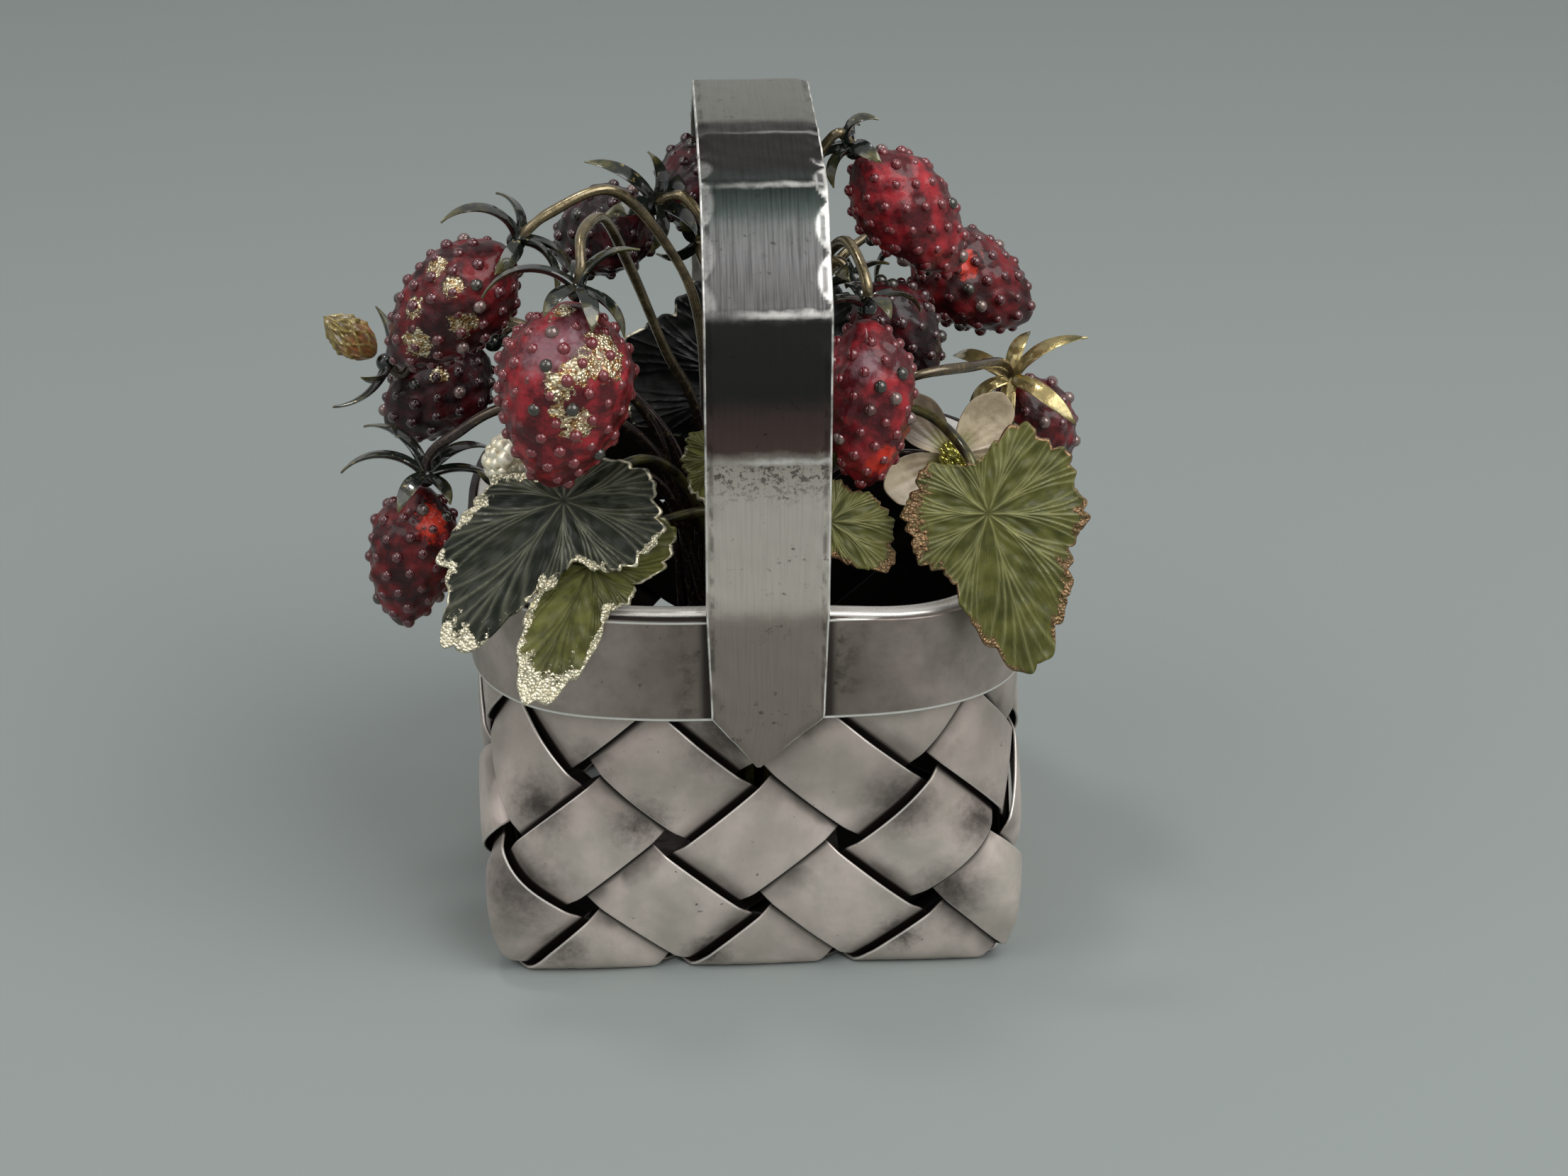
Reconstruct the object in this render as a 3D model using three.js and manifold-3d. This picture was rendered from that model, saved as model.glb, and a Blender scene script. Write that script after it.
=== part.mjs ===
// A small square basket plaited from twelve flat silver strips, with a double rim band and a strap
// handle. It holds a spray of enamelled strawberries, leaves and a blossom on soldered wire stems.
// Millimetres, +Z up, the front faces -Y, and the basket stands on the floor at z = 0.
import * as THREE from 'three';
import { mergeVertices } from 'three/addons/utils/BufferGeometryUtils.js';
import Module from 'manifold-3d';

const wasm = await Module();
wasm.setup();

// Basket body
const baseSide = 72;
const crossingsPerSide = 3;
const wallHeight = 43.4;
const rowsBelowBand = 3.87;
const rimHalfWidth = 41.5;
const rimSquareness = 3.6;
const wallFlare = 3.5;
const rimEvenness = 0.45;

// Strips
const stripGauge = 0.5;
const stripCover = 0.82;
const seatGap = 0.3;
const crossingSlack = 0.06;
const crossingBulge = 0.5;
const foldRadius = 1.4;

// Rim bands
const bandHeight = 15.9;
const bandGauge = 1;
const bandSlack = 0.2;
const innerBandGauge = 0.8;
const lipHeight = 1.9;
const lipRise = 0.8;

// Handle
const handleWidth = 17.1;
const handleGauge = 1.2;
const handleBevel = 2;
const handleOffset = 1.7;
const tipOffset = 0.3;
const tipDrop = 6.6;
const shoulderRise = 0.8;
const shoulderWidth = 15.9;
const frontBends = [[0, 1.6], [2.4, 24.8], [3.6, 45.6], [-10, 58.9], [-28.2, 60.4]];
const backBends = [[0, 1.6], [2.4, 21], [1.8, 36], [-8.4, 50.6], [-28.4, 60.4]];

// Stem plate
const plateLength = 30;
const plateWidth = 24;
const plateGauge = 1;
const plateCentre = [-0.8, -2.4];

// Spray
const stemDiameter = 1.5;
const footPitch = 3.2;
const footSink = 14;
const hubRadius = 1.5;
const sepalWidth = 2.6;
const seedHeight = 0.45;
const leafGauge = 0.7;
const petalGauge = 0.6;

// Colours and finishes
const silver = { color: 0x9b968f, roughness: 0.38, metalness: 1 };
const darkSilver = { color: 0x6f6b66, roughness: 0.5, metalness: 1 };
const crimson = { color: 0x7d1526, roughness: 0.28, metalness: 0 };
const darkCrimson = { color: 0x4a1220, roughness: 0.3, metalness: 0 };
const bronze = { color: 0x7c6a3e, roughness: 0.35, metalness: 0.8 };
const freshGreen = { color: 0x6f8440, roughness: 0.4, metalness: 0 };
const darkGreen = { color: 0x2c3a2c, roughness: 0.35, metalness: 0 };
const olive = { color: 0x7b7a35, roughness: 0.4, metalness: 0 };
const cream = { color: 0xb9ad97, roughness: 0.45, metalness: 0 };
const gold = { color: 0xc9ad6b, roughness: 0.3, metalness: 1 };
const budYellow = { color: 0x8d7436, roughness: 0.4, metalness: 0.3 };

const basket = new THREE.Group();
const strayed = new THREE.Group();

function addPiece(parent, name, geometry, finish) {
  const mesh = new THREE.Mesh(geometry, new THREE.MeshStandardMaterial(finish));
  mesh.name = name;
  parent.add(mesh);
  return mesh;
}

function meshFrom(points, faces) {
  const geometry = new THREE.BufferGeometry().setFromPoints(points);
  geometry.setIndex(faces.flat());
  return geometry;
}

// Joins overlapping closed meshes into one body
function joined(geometries) {
  const solids = geometries.map((geometry) => {
    const bare = geometry.clone();
    bare.deleteAttribute('normal');
    bare.deleteAttribute('uv');
    const merged = mergeVertices(bare, 1e-4);
    const vertProperties = new Float32Array(merged.attributes.position.array);
    const triVerts = new Uint32Array(merged.index.array);
    return new wasm.Manifold(new wasm.Mesh({ numProp: 3, vertProperties, triVerts }));
  });
  const mesh = solids.reduce((sum, solid) => sum.add(solid)).getMesh();
  const geometry = new THREE.BufferGeometry();
  geometry.setAttribute('position', new THREE.BufferAttribute(mesh.vertProperties, 3));
  geometry.setIndex(new THREE.BufferAttribute(mesh.triVerts, 1));
  return geometry;
}

// The woven skin. Round the basket u counts crossings from the front centre, up the wall v counts
// rows from the base fold, and below the fold v runs on inward across the flat base.
const pitch = baseSide / crossingsPerSide;
const halfBase = baseSide / 2;
const halfCount = crossingsPerSide / 2;
const lift = (stripGauge + seatGap + crossingSlack) / 2;
const floorLift = lift + stripGauge / 2;
const rowPitch = (wallHeight - floorLift) / rowsBelowBand;
const bandSeat = lift + stripGauge / 2 + seatGap + bandSlack;
const skinHalfWidth = rimHalfWidth - bandGauge - bandSeat;
const edge = stripCover / 2;

// Superellipse of a half width and a squareness, at an angle from the front
function outlinePoint(halfWidth, squareness, angle) {
  const s = Math.sin(angle);
  const c = Math.cos(angle);
  const sum = Math.abs(s) ** squareness + Math.abs(c) ** squareness;
  const reach = halfWidth * sum ** (-1 / squareness);
  return new THREE.Vector2(reach * s, -reach * c);
}

// One wall's skin outline at a height: a square at the base that swells and rounds towards the rim
function wallOutline(u, height) {
  const rise = THREE.MathUtils.clamp(height / wallHeight, 0, 1);
  const halfWidth = THREE.MathUtils.lerp(skinHalfWidth, halfBase, (1 - rise) ** wallFlare);
  const roundness = THREE.MathUtils.smoothstep(rise, 0, 1) / rimSquareness;
  const squareness = 1 / Math.max(roundness, 0.01);
  const side = Math.round(u / crossingsPerSide);
  const along = u - side * crossingsPerSide;
  const flatAngle = Math.atan(along / halfCount);
  const evenAngle = (along / halfCount) * (Math.PI / 4);
  const angle = THREE.MathUtils.lerp(flatAngle, evenAngle, rise * rimEvenness);
  const point = outlinePoint(halfWidth, squareness, angle);
  return point.rotateAround(new THREE.Vector2(), side * Math.PI / 2);
}

// A point of the skin. Near the fold, inset and height follow a small parabola-like bend.
function skinPoint(u, v) {
  const past = v * (v > 0 ? rowPitch : pitch / 2);
  let inset = 0;
  let height = past;
  if (past <= -foldRadius) {
    inset = -past;
    height = 0;
  } else if (past < foldRadius) {
    inset = (foldRadius - past) ** 2 / (4 * foldRadius);
    height = (foldRadius + past) ** 2 / (4 * foldRadius);
  }
  const flat = v <= 0 ? new THREE.Vector2(u * pitch, -halfBase) : wallOutline(u, height);
  return new THREE.Vector3(flat.x, flat.y + inset, floorLift + height);
}

function faceNormal(u, v, du, dv) {
  const here = skinPoint(u, v);
  const round = skinPoint(u + du, v).sub(here).multiplyScalar(Math.sign(du));
  const up = skinPoint(u, v + dv).sub(here).multiplyScalar(Math.sign(dv));
  return round.cross(up).normalize();
}

// Outward offset direction, lengthened at a corner or fold so that both faces keep their gauge
function skinMitre(u, v) {
  const down = new THREE.Vector3(0, 0, -1);
  const nearFold = 0.15;
  const step = 0.08;
  if (v < -nearFold) {
    return down;
  }
  const onFold = v < nearFold;
  const one = onFold ? down : faceNormal(u, v, -step, step);
  const other = onFold ? faceNormal(u, 3 * step, step, step) : faceNormal(u, v, step, step);
  const spread = 1 + one.dot(other);
  return one.clone().add(other).divideScalar(spread);
}

// A strip rises up one wall, crosses the base and climbs the wall to its left. s runs along it from
// the first fold and w across it, both in lattice units, and shift says where on the wall it folds.
function stripPlace(shift, s, w) {
  const v = -s - w;
  const secondV = s - w - (2 * shift + crossingsPerSide);
  if (secondV > v) {
    return { u: halfCount - (s + w) / 2, v: secondV, turn: -Math.PI / 2 };
  }
  return { u: shift + (w - s) / 2, v, turn: 0 };
}

function stripGeometry(shift) {
  const wallRows = Math.ceil(rowsBelowBand);
  const lastCell = 2 * shift + crossingsPerSide + wallRows;
  const rows = [];
  for (let cell = -wallRows; cell <= lastCell; cell++) {
    const side = cell % 2 === 0 ? 1 : -1;
    const bulges = cell > -wallRows && cell < lastCell;
    for (const part of [-edge, 0, edge]) {
      rows.push({ s: cell + part, side, bulge: bulges && part === 0 ? crossingBulge : 0 });
    }
  }
  const points = [];
  const places = [];
  for (const { s, side, bulge } of rows) {
    for (const w of [-edge, 0, edge]) {
      const place = stripPlace(shift, s, w);
      const point = skinPoint(place.u, place.v);
      const mitre = skinMitre(place.u, place.v);
      const offset = side * (lift + bulge * THREE.MathUtils.clamp(0.5 + 2 * place.v, 0, 1));
      for (const depth of [offset + stripGauge / 2, offset - stripGauge / 2]) {
        const turned = point.clone().addScaledVector(mitre, depth);
        points.push(turned.applyAxisAngle(new THREE.Vector3(0, 0, 1), place.turn));
      }
      places.push(place);
    }
  }
  return meshFrom(points, stripFaces(rows.length, places));
}

// Faces of a strip whose vertices come in pairs, outer and inner, three pairs to a row
function stripFaces(rowCount, places) {
  const faces = [];
  for (let row = 0; row < rowCount - 1; row++) {
    for (let column = 0; column < 2; column++) {
      const a = 3 * row + column;
      const b = a + 3;
      const c = b + 1;
      const d = a + 1;
      const foldLine = Math.abs(places[b].v) + Math.abs(places[d].v) < 1e-6;
      const otherFoldLine = Math.abs(places[a].v) + Math.abs(places[c].v) < 1e-6;
      const upright = Math.abs(places[a].u - places[c].u) < Math.abs(places[b].u - places[d].u);
      const splitAC = otherFoldLine || (upright && !foldLine);
      const halves = splitAC ? [[a, b, c], [a, c, d]] : [[a, b, d], [b, c, d]];
      for (const [i, j, k] of halves) {
        faces.push([2 * i, 2 * j, 2 * k], [2 * i + 1, 2 * k + 1, 2 * j + 1]);
      }
    }
    for (const [i, j] of [[3 * row + 3, 3 * row], [3 * row + 2, 3 * row + 5]]) {
      faces.push([2 * i, 2 * j, 2 * j + 1], [2 * i, 2 * j + 1, 2 * i + 1]);
    }
  }
  const last = 3 * (rowCount - 1);
  for (const [i, j] of [[0, 1], [1, 2], [last + 1, last], [last + 2, last + 1]]) {
    faces.push([2 * i, 2 * j, 2 * j + 1], [2 * i, 2 * j + 1, 2 * i + 1]);
  }
  return faces;
}

const firstShift = -Math.floor((crossingsPerSide - 1) / 2);
let stripNumber = 0;
for (let wall = 0; wall < 4; wall++) {
  for (let k = 0; k < crossingsPerSide; k++) {
    stripNumber += 1;
    const strip = addPiece(basket, `plait_strip_${stripNumber}`, stripGeometry(firstShift + k), silver);
    strip.rotation.z = wall * Math.PI / 2;
  }
}

// A closed ring whose section points are [distance outside the skin, height]
function rimRing(section) {
  const segments = 56;
  const points = [];
  const faces = [];
  for (let i = 0; i < segments; i++) {
    const angle = (i / segments) * 2 * Math.PI;
    const point = outlinePoint(skinHalfWidth, rimSquareness, angle);
    const ahead = outlinePoint(skinHalfWidth, rimSquareness, angle + 0.01);
    const behind = outlinePoint(skinHalfWidth, rimSquareness, angle - 0.01);
    const along = ahead.sub(behind).normalize();
    for (const [out, height] of section) {
      points.push(new THREE.Vector3(point.x + along.y * out, point.y - along.x * out, height));
    }
    const next = ((i + 1) % segments) * section.length;
    const here = i * section.length;
    for (let k = 0; k < section.length; k++) {
      const up = (k + 1) % section.length;
      faces.push([here + k, next + k, next + up], [here + k, next + up, here + up]);
    }
  }
  return meshFrom(points, faces);
}

const bandTop = wallHeight + bandHeight;
const outerBand = [
  [bandSeat, wallHeight],
  [bandSeat + bandGauge, wallHeight],
  [bandSeat + bandGauge, bandTop],
  [bandSeat, bandTop],
];
addPiece(basket, 'outer_rim_band', rimRing(outerBand), silver);

// The inner band is rolled outward at its top into a lip that closes the gap between the bands
const lipBottom = bandTop + lipRise - lipHeight;
const lipReach = bandSeat - seatGap;
const innerBand = [
  [-bandSeat - innerBandGauge, wallHeight + seatGap],
  [-bandSeat, wallHeight + seatGap],
  [-bandSeat, lipBottom],
  [lipReach, lipBottom],
  [lipReach, lipBottom + lipHeight * 0.5],
  [lipReach - 0.8, lipBottom + lipHeight],
  [-bandSeat - innerBandGauge, lipBottom + lipHeight],
];
addPiece(basket, 'inner_rim_band', rimRing(innerBand), silver);

// The handle strap: a path of straight hammered flats in the YZ plane and a bevelled section
function handleGeometry() {
  const leg = rimHalfWidth + seatGap + handleGauge / 2;
  const half = (bends, side) => [
    { y: side * leg, z: wallHeight - tipDrop, width: 0.8, bevel: 0.2, x: tipOffset },
    {
      y: side * leg, z: wallHeight + shoulderRise, width: shoulderWidth, bevel: handleBevel, x: handleOffset,
    },
    ...bends.map(([out, up]) => (
      { y: side * (leg + out), z: bandTop + up, width: handleWidth, bevel: handleBevel, x: handleOffset }
    )),
  ];
  const path = [...half(frontBends, -1), ...half(backBends, 1).reverse()];
  const points = [];
  const faces = [];
  const sectionCount = 6;
  path.forEach((bend, i) => {
    const before = path[Math.max(i - 1, 0)];
    const after = path[Math.min(i + 1, path.length - 1)];
    const into = new THREE.Vector2(bend.y - before.y, bend.z - before.z).normalize();
    const from = new THREE.Vector2(after.y - bend.y, after.z - bend.z).normalize();
    const first = into.length() > 0 ? into : from;
    const second = from.length() > 0 ? from : into;
    const mitre = first.clone().add(second).divideScalar(1 + first.dot(second));
    const side = bend.width / 2;
    const deep = handleGauge / 2;
    const shallow = deep * 0.3;
    const section = [
      [-side, -deep],
      [side, -deep],
      [side, shallow],
      [side - bend.bevel, deep],
      [-side + bend.bevel, deep],
      [-side, shallow],
    ];
    for (const [across, out] of section) {
      points.push(new THREE.Vector3(bend.x + across, bend.y - mitre.y * out, bend.z + mitre.x * out));
    }
    if (i === 0) {
      return;
    }
    const here = i * sectionCount;
    const prior = here - sectionCount;
    for (let k = 0; k < sectionCount; k++) {
      const next = (k + 1) % sectionCount;
      faces.push([prior + k, here + next, prior + next], [prior + k, here + k, here + next]);
    }
  });
  const last = (path.length - 1) * sectionCount;
  for (let k = 1; k < sectionCount - 1; k++) {
    faces.push([0, k, k + 1], [last, last + k + 1, last + k]);
  }
  return meshFrom(points, faces);
}
addPiece(basket, 'strap_handle', handleGeometry(), silver);

// The plate that the stems are soldered to lies inside on the woven base
const basketFloor = floorLift + lift + stripGauge / 2;
const plateBottom = basketFloor + seatGap;
const plateTop = plateBottom + plateGauge;
function plateGeometry() {
  const corner = 3;
  const x = plateLength / 2;
  const y = plateWidth / 2;
  const shape = new THREE.Shape();
  shape.moveTo(-x + corner, -y);
  shape.lineTo(x - corner, -y);
  shape.absarc(x - corner, -y + corner, corner, -Math.PI / 2, 0);
  shape.absarc(x - corner, y - corner, corner, 0, Math.PI / 2);
  shape.absarc(-x + corner, y - corner, corner, Math.PI / 2, Math.PI);
  shape.absarc(-x + corner, -y + corner, corner, Math.PI, Math.PI * 1.5);
  return new THREE.ExtrudeGeometry(shape, { depth: plateGauge, bevelEnabled: false, curveSegments: 2 });
}
const plate = addPiece(basket, 'stem_plate', plateGeometry(), darkSilver);
plate.position.set(plateCentre[0], plateCentre[1], plateBottom);

// Everything in the spray is placed by its height above the rim's top, x and y from the basket's axis
const rim = rimHalfWidth;
const spray = new THREE.Group();
spray.position.z = bandTop;
const footHeight = plateTop + seatGap - bandTop;

// The stems stand on the plate in staggered rows, [column, row] from the middle
function footPoint([column, row]) {
  return new THREE.Vector3(column * footPitch, -1.6 + row * footPitch, footHeight);
}

// A round wire along a smooth curve from its foot to its end
function stemGeometry(foot, via, end, steps) {
  const base = footPoint(foot);
  const neck = base.clone().setZ(-footSink);
  const points = [base, neck, ...via.map((point) => new THREE.Vector3(...point)), ...end];
  const path = new THREE.CatmullRomCurve3(points, false, 'centripetal');
  const sides = 5;
  const section = new THREE.Shape();
  for (let i = 0; i < sides; i++) {
    const angle = (i / sides) * 2 * Math.PI;
    const corner = [Math.cos(angle) * stemDiameter / 2, Math.sin(angle) * stemDiameter / 2];
    if (i === 0) {
      section.moveTo(...corner);
    } else {
      section.lineTo(...corner);
    }
  }
  return new THREE.ExtrudeGeometry(section, { steps, extrudePath: path });
}

// A sepal: a tapering blade with a ridge. Its slope over the calyx plane, positive away from the berry,
// turns evenly from rise at the hub to end at the tip, so it arches up and curls down again.
function sepalGeometry(hub, axis, sideways, length, rise, end) {
  const across = new THREE.Vector3().crossVectors(axis, sideways);
  const points = [];
  const faces = [];
  const stations = [[0, 0.6], [0.5, 1], [1, 0.12]];
  stations.forEach(([part, share], i) => {
    const slope = THREE.MathUtils.lerp(rise, end, part);
    const out = length * (Math.sin(slope) - Math.sin(rise)) / (end - rise);
    const up = length * (Math.cos(rise) - Math.cos(slope)) / (end - rise);
    const centre = hub.clone().addScaledVector(sideways, out).addScaledVector(axis, up);
    const normal = axis.clone().multiplyScalar(Math.cos(slope)).addScaledVector(sideways, -Math.sin(slope));
    const half = sepalWidth * share / 2;
    points.push(centre.clone().addScaledVector(across, half));
    points.push(centre.clone().addScaledVector(normal, 0.25 + 0.5 * share));
    points.push(centre.clone().addScaledVector(across, -half));
    for (let k = 0; k < 3 && i > 0; k++) {
      const next = (k + 1) % 3;
      const here = 3 * i;
      const prior = here - 3;
      faces.push([prior + k, here + next, here + k], [prior + k, prior + next, here + next]);
    }
  });
  const last = 3 * (stations.length - 1);
  faces.push([0, 2, 1], [last, last + 1, last + 2]);
  return meshFrom(points, faces);
}

// Sepals round a hub, each [turn, length, rise, end] with its angles in degrees
function calyxGeometries(hub, axis, sepals) {
  const reference = Math.abs(axis.z) > 0.9 ? new THREE.Vector3(1, 0, 0) : new THREE.Vector3(0, 0, 1);
  const start = new THREE.Vector3().crossVectors(reference, axis).normalize();
  const blades = sepals.map(([turn, length, ...slopes]) => {
    const sideways = start.clone().applyAxisAngle(axis, THREE.MathUtils.degToRad(turn));
    return sepalGeometry(hub, axis, sideways, length, ...slopes.map(THREE.MathUtils.degToRad));
  });
  const boss = new THREE.IcosahedronGeometry(hubRadius, 0);
  boss.translate(hub.x, hub.y, hub.z);
  return [boss, ...blades];
}

// A berry hangs down its own -Z from the calyx end. Alternate grid points stand out as seeds.
function berryGeometry(length, diameter) {
  const around = 10;
  const rings = 7;
  const points = [new THREE.Vector3(0, 0, 0)];
  for (let k = 1; k <= rings; k++) {
    const part = (k - 0.5) / rings;
    const swell = part < 0.36 ? Math.sin(((part + 0.1) / 0.46) * Math.PI / 2) : 0;
    const taper = (1 - Math.max((part - 0.36) / 0.68, 0) ** 2.1) ** 0.8;
    const radius = diameter / 2 - seedHeight;
    const share = part < 0.36 ? swell : taper;
    for (let i = 0; i < around; i++) {
      const angle = ((i + (k % 2) / 2) / around) * 2 * Math.PI;
      const reach = radius * share + ((i + k) % 2 === 0 ? seedHeight : 0);
      points.push(new THREE.Vector3(reach * Math.cos(angle), reach * Math.sin(angle), -part * length));
    }
  }
  points.push(new THREE.Vector3(0, 0, -length));
  const faces = [];
  const tip = points.length - 1;
  for (let i = 0; i < around; i++) {
    const next = (i + 1) % around;
    faces.push([0, 1 + i, 1 + next]);
    const last = 1 + (rings - 1) * around;
    faces.push([tip, last + next, last + i]);
    for (let k = 0; k < rings - 1; k++) {
      const upper = 1 + k * around;
      const lower = upper + around;
      if (k % 2 === 0) {
        faces.push([upper + i, lower + next, upper + next], [upper + i, lower + i, lower + next]);
      } else {
        faces.push([upper + i, lower + i, upper + next], [upper + next, lower + i, lower + next]);
      }
    }
  }
  return meshFrom(points, faces);
}

const lazySepals = [[20, 9, 55, -50], [110, 10, 50, -70], [200, 8, 60, -40], [290, 10, 45, -60]];

// Each berry: calyx end, tip, thickness, the foot of its stem and the points that the stem passes
const berries = [
  { name: 'left_high', top: [-33.5, -10, 43.2], tip: [-50.3, -10, 26.8], thick: 15.5, finish: crimson,
    foot: [-2, 0], via: [[-6.6, -2, 29.7], [-10.2, -3, 39.9], [-18.9, -6, 50.5], [-27.5, -9, 48.2]],
    sepals: [[55, 9, 70, -40], [105, 14, 40, -90], [180, 8, 10, -80], [235, 12, 50, -60],
      [265, 11, 60, -40]] },
  { name: 'front_left', top: [-23.5, -37, 44.4], tip: [-27.5, -39, 19.4], thick: 19.2, finish: crimson,
    foot: [-1.5, -1],
    via: [[-6.9, -5, 15.7], [-11.6, -9, 27.7], [-16.3, -15, 42], [-20, -25, 52.5], [-22.6, -33, 52.5]],
    sepals: [[20, 9, 20, -70], [58, 10, 15, -70], [100, 11, 85, -5], [180, 9, 60, -40], [270, 15, 45, -70],
      [325, 8, 20, -60]] },
  { name: 'left_middle', top: [-38.5, 8, 21.7], tip: [-53, 4, 10.7], thick: 15, finish: darkCrimson,
    foot: [-2.5, 1], via: [[-10, 3, 6.7], [-18, 5, 17], [-29, 7, 25]], sepals: lazySepals },
  { name: 'left_low', top: [-(rim + 5.2), -14, 8.7], tip: [-(rim + 9.5), -15, -12.3], thick: 13.8,
    finish: crimson, foot: [-2.5, -1],
    via: [[-13, -8, 10.7], [-24, -13, 20.7], [-35, -15.5, 21.5], [-41.5, -14.5, 17.5]],
    sepals: [[40, 7, 20, -50], [95, 11, 40, -30], [125, 13, 65, -30], [238, 14, 65, -30], [270, 14, 45, -60],
      [335, 9, 20, -75]] },
  { name: 'back_top', top: [-6, 15, 38.2], tip: [-6.5, 27, 48.2], thick: 13.5, finish: darkCrimson,
    foot: [-0.5, 1], via: [[-2, 5, 22.7], [-4.5, 9.5, 32]], sepals: lazySepals },
  { name: 'behind_arch', top: [-14, 6, 43.7], tip: [-27, 15, 33.7], thick: 14, finish: darkCrimson,
    foot: [-1, 0], via: [[-3, 0, 30.7], [-5, 0.8, 42], [-8.5, 2.4, 46.8]],
    sepals: [[15, 9, 50, -40], [70, 9, 60, -40], [118, 13, 25, -60], [168, 10, 30, -70], [230, 9, 50, -60],
      [300, 9, 60, -40]] },
  { name: 'right_top', top: [16.9, -2, 53.4], tip: [31.4, 2, 35.3], thick: 14.5, finish: crimson,
    foot: [0, 0], via: [[2, -1, 32.7], [4.6, -1.8, 46], [10, -3, 53.5]],
    sepals: [[10, 8, 40, -60], [60, 9, 100, -60], [150, 8, 50, -60], [230, 8, 50, -60], [300, 8, 50, -60]] },
  { name: 'right_high', top: [26.4, 16, 33.9], tip: [44, 13, 23.7], thick: 15.5, finish: crimson,
    foot: [1.5, 1], via: [[7, 5, 18.7], [14, 12, 32.7]], sepals: lazySepals },
  { name: 'front_right', top: [15.9, -28, 38.2], tip: [16, -30, 14.7], thick: 14.2, finish: crimson,
    foot: [0.5, -1], via: [[5, -5, 18.7], [9, -10, 36.7], [13.5, -20, 47]], sepals: lazySepals },
  { name: 'right_low', top: [rim - 1, 0, 17.2], tip: [rim + 6, 7, 1.6], thick: 14, finish: darkCrimson,
    foot: [1.5, -1], via: [[12, -10, 17.7], [23.8, -16, 25.5], [31.7, -12, 25.2]],
    sepals: [[48, 14, 50, -30], [98, 9, 60, -30], [172, 14, 30, -40], [240, 9, 40, -60], [295, 10, 20, -70],
      [350, 14, 30, -60]] },
  { name: 'right_inner', top: [17, -5, 35], tip: [27.5, -9, 23.7], thick: 13, finish: darkCrimson,
    foot: [1, 0], via: [[5, -1.5, 25.7], [8.5, -2.5, 36.5]],
    sepals: [[20, 9, 55, -50], [110, 6, 20, -60], [200, 8, 60, -40], [290, 10, 45, -60]] },
];

for (const berry of berries) {
  const top = new THREE.Vector3(...berry.top);
  const tip = new THREE.Vector3(...berry.tip);
  const axis = top.clone().sub(tip).normalize();
  const flesh = berryGeometry(top.distanceTo(tip), berry.thick);
  const fruit = addPiece(spray, `berry_${berry.name}`, flesh, berry.finish);
  fruit.position.copy(top);
  fruit.quaternion.setFromUnitVectors(new THREE.Vector3(0, 0, 1), axis);
  const hub = top.clone().addScaledVector(axis, seatGap + hubRadius);
  const end = [hub.clone().addScaledVector(axis, 3.5), hub];
  const stem = stemGeometry(berry.foot, berry.via, end, 10);
  const wire = joined([stem, ...calyxGeometries(hub, axis, berry.sepals)]);
  addPiece(spray, `stem_${berry.name}`, wire, bronze);
}

// Distance from a leaf's vein centre to its margin, eased between values an eighth of a turn apart.
// They start at the tip and run round by the left side as seen from the leaf's face.
function leafReach(reaches, angle) {
  const place = THREE.MathUtils.euclideanModulo(angle / (Math.PI / 4), 8);
  const before = Math.floor(place);
  const ease = THREE.MathUtils.smoothstep(place - before, 0, 1);
  return THREE.MathUtils.lerp(reaches[before], reaches[(before + 1) % 8], ease);
}

// A thin sheet over a polar outline. Its middle is at the origin, +Y runs to the tip, +Z is its face.
function sheetGeometry(reach, relief, gauge, spokes, rings) {
  const points = [new THREE.Vector3(0, 0, gauge / 2), new THREE.Vector3(0, 0, -gauge / 2)];
  const faces = [];
  for (let k = 1; k <= rings; k++) {
    for (let i = 0; i < spokes; i++) {
      const angle = (i / spokes) * 2 * Math.PI - Math.PI;
      const distance = (k / rings) * reach(angle, i);
      const height = relief(distance, i);
      const x = distance * Math.sin(angle);
      const y = distance * Math.cos(angle);
      points.push(new THREE.Vector3(x, y, height + gauge / 2), new THREE.Vector3(x, y, height - gauge / 2));
    }
  }
  const at = (k, i) => (k === 0 ? 0 : 2 + 2 * ((k - 1) * spokes + (i % spokes)));
  for (let i = 0; i < spokes; i++) {
    faces.push([0, at(1, i + 1), at(1, i)], [1, at(1, i) + 1, at(1, i + 1) + 1]);
    for (let k = 1; k < rings; k++) {
      const a = at(k, i);
      const b = at(k, i + 1);
      const c = at(k + 1, i + 1);
      const d = at(k + 1, i);
      faces.push([a, b, c], [a, c, d], [a + 1, c + 1, b + 1], [a + 1, d + 1, c + 1]);
    }
    const rimA = at(rings, i);
    const rimB = at(rings, i + 1);
    faces.push([rimA, rimB, rimB + 1], [rimA, rimB + 1, rimA + 1]);
  }
  return meshFrom(points, faces);
}

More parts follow.
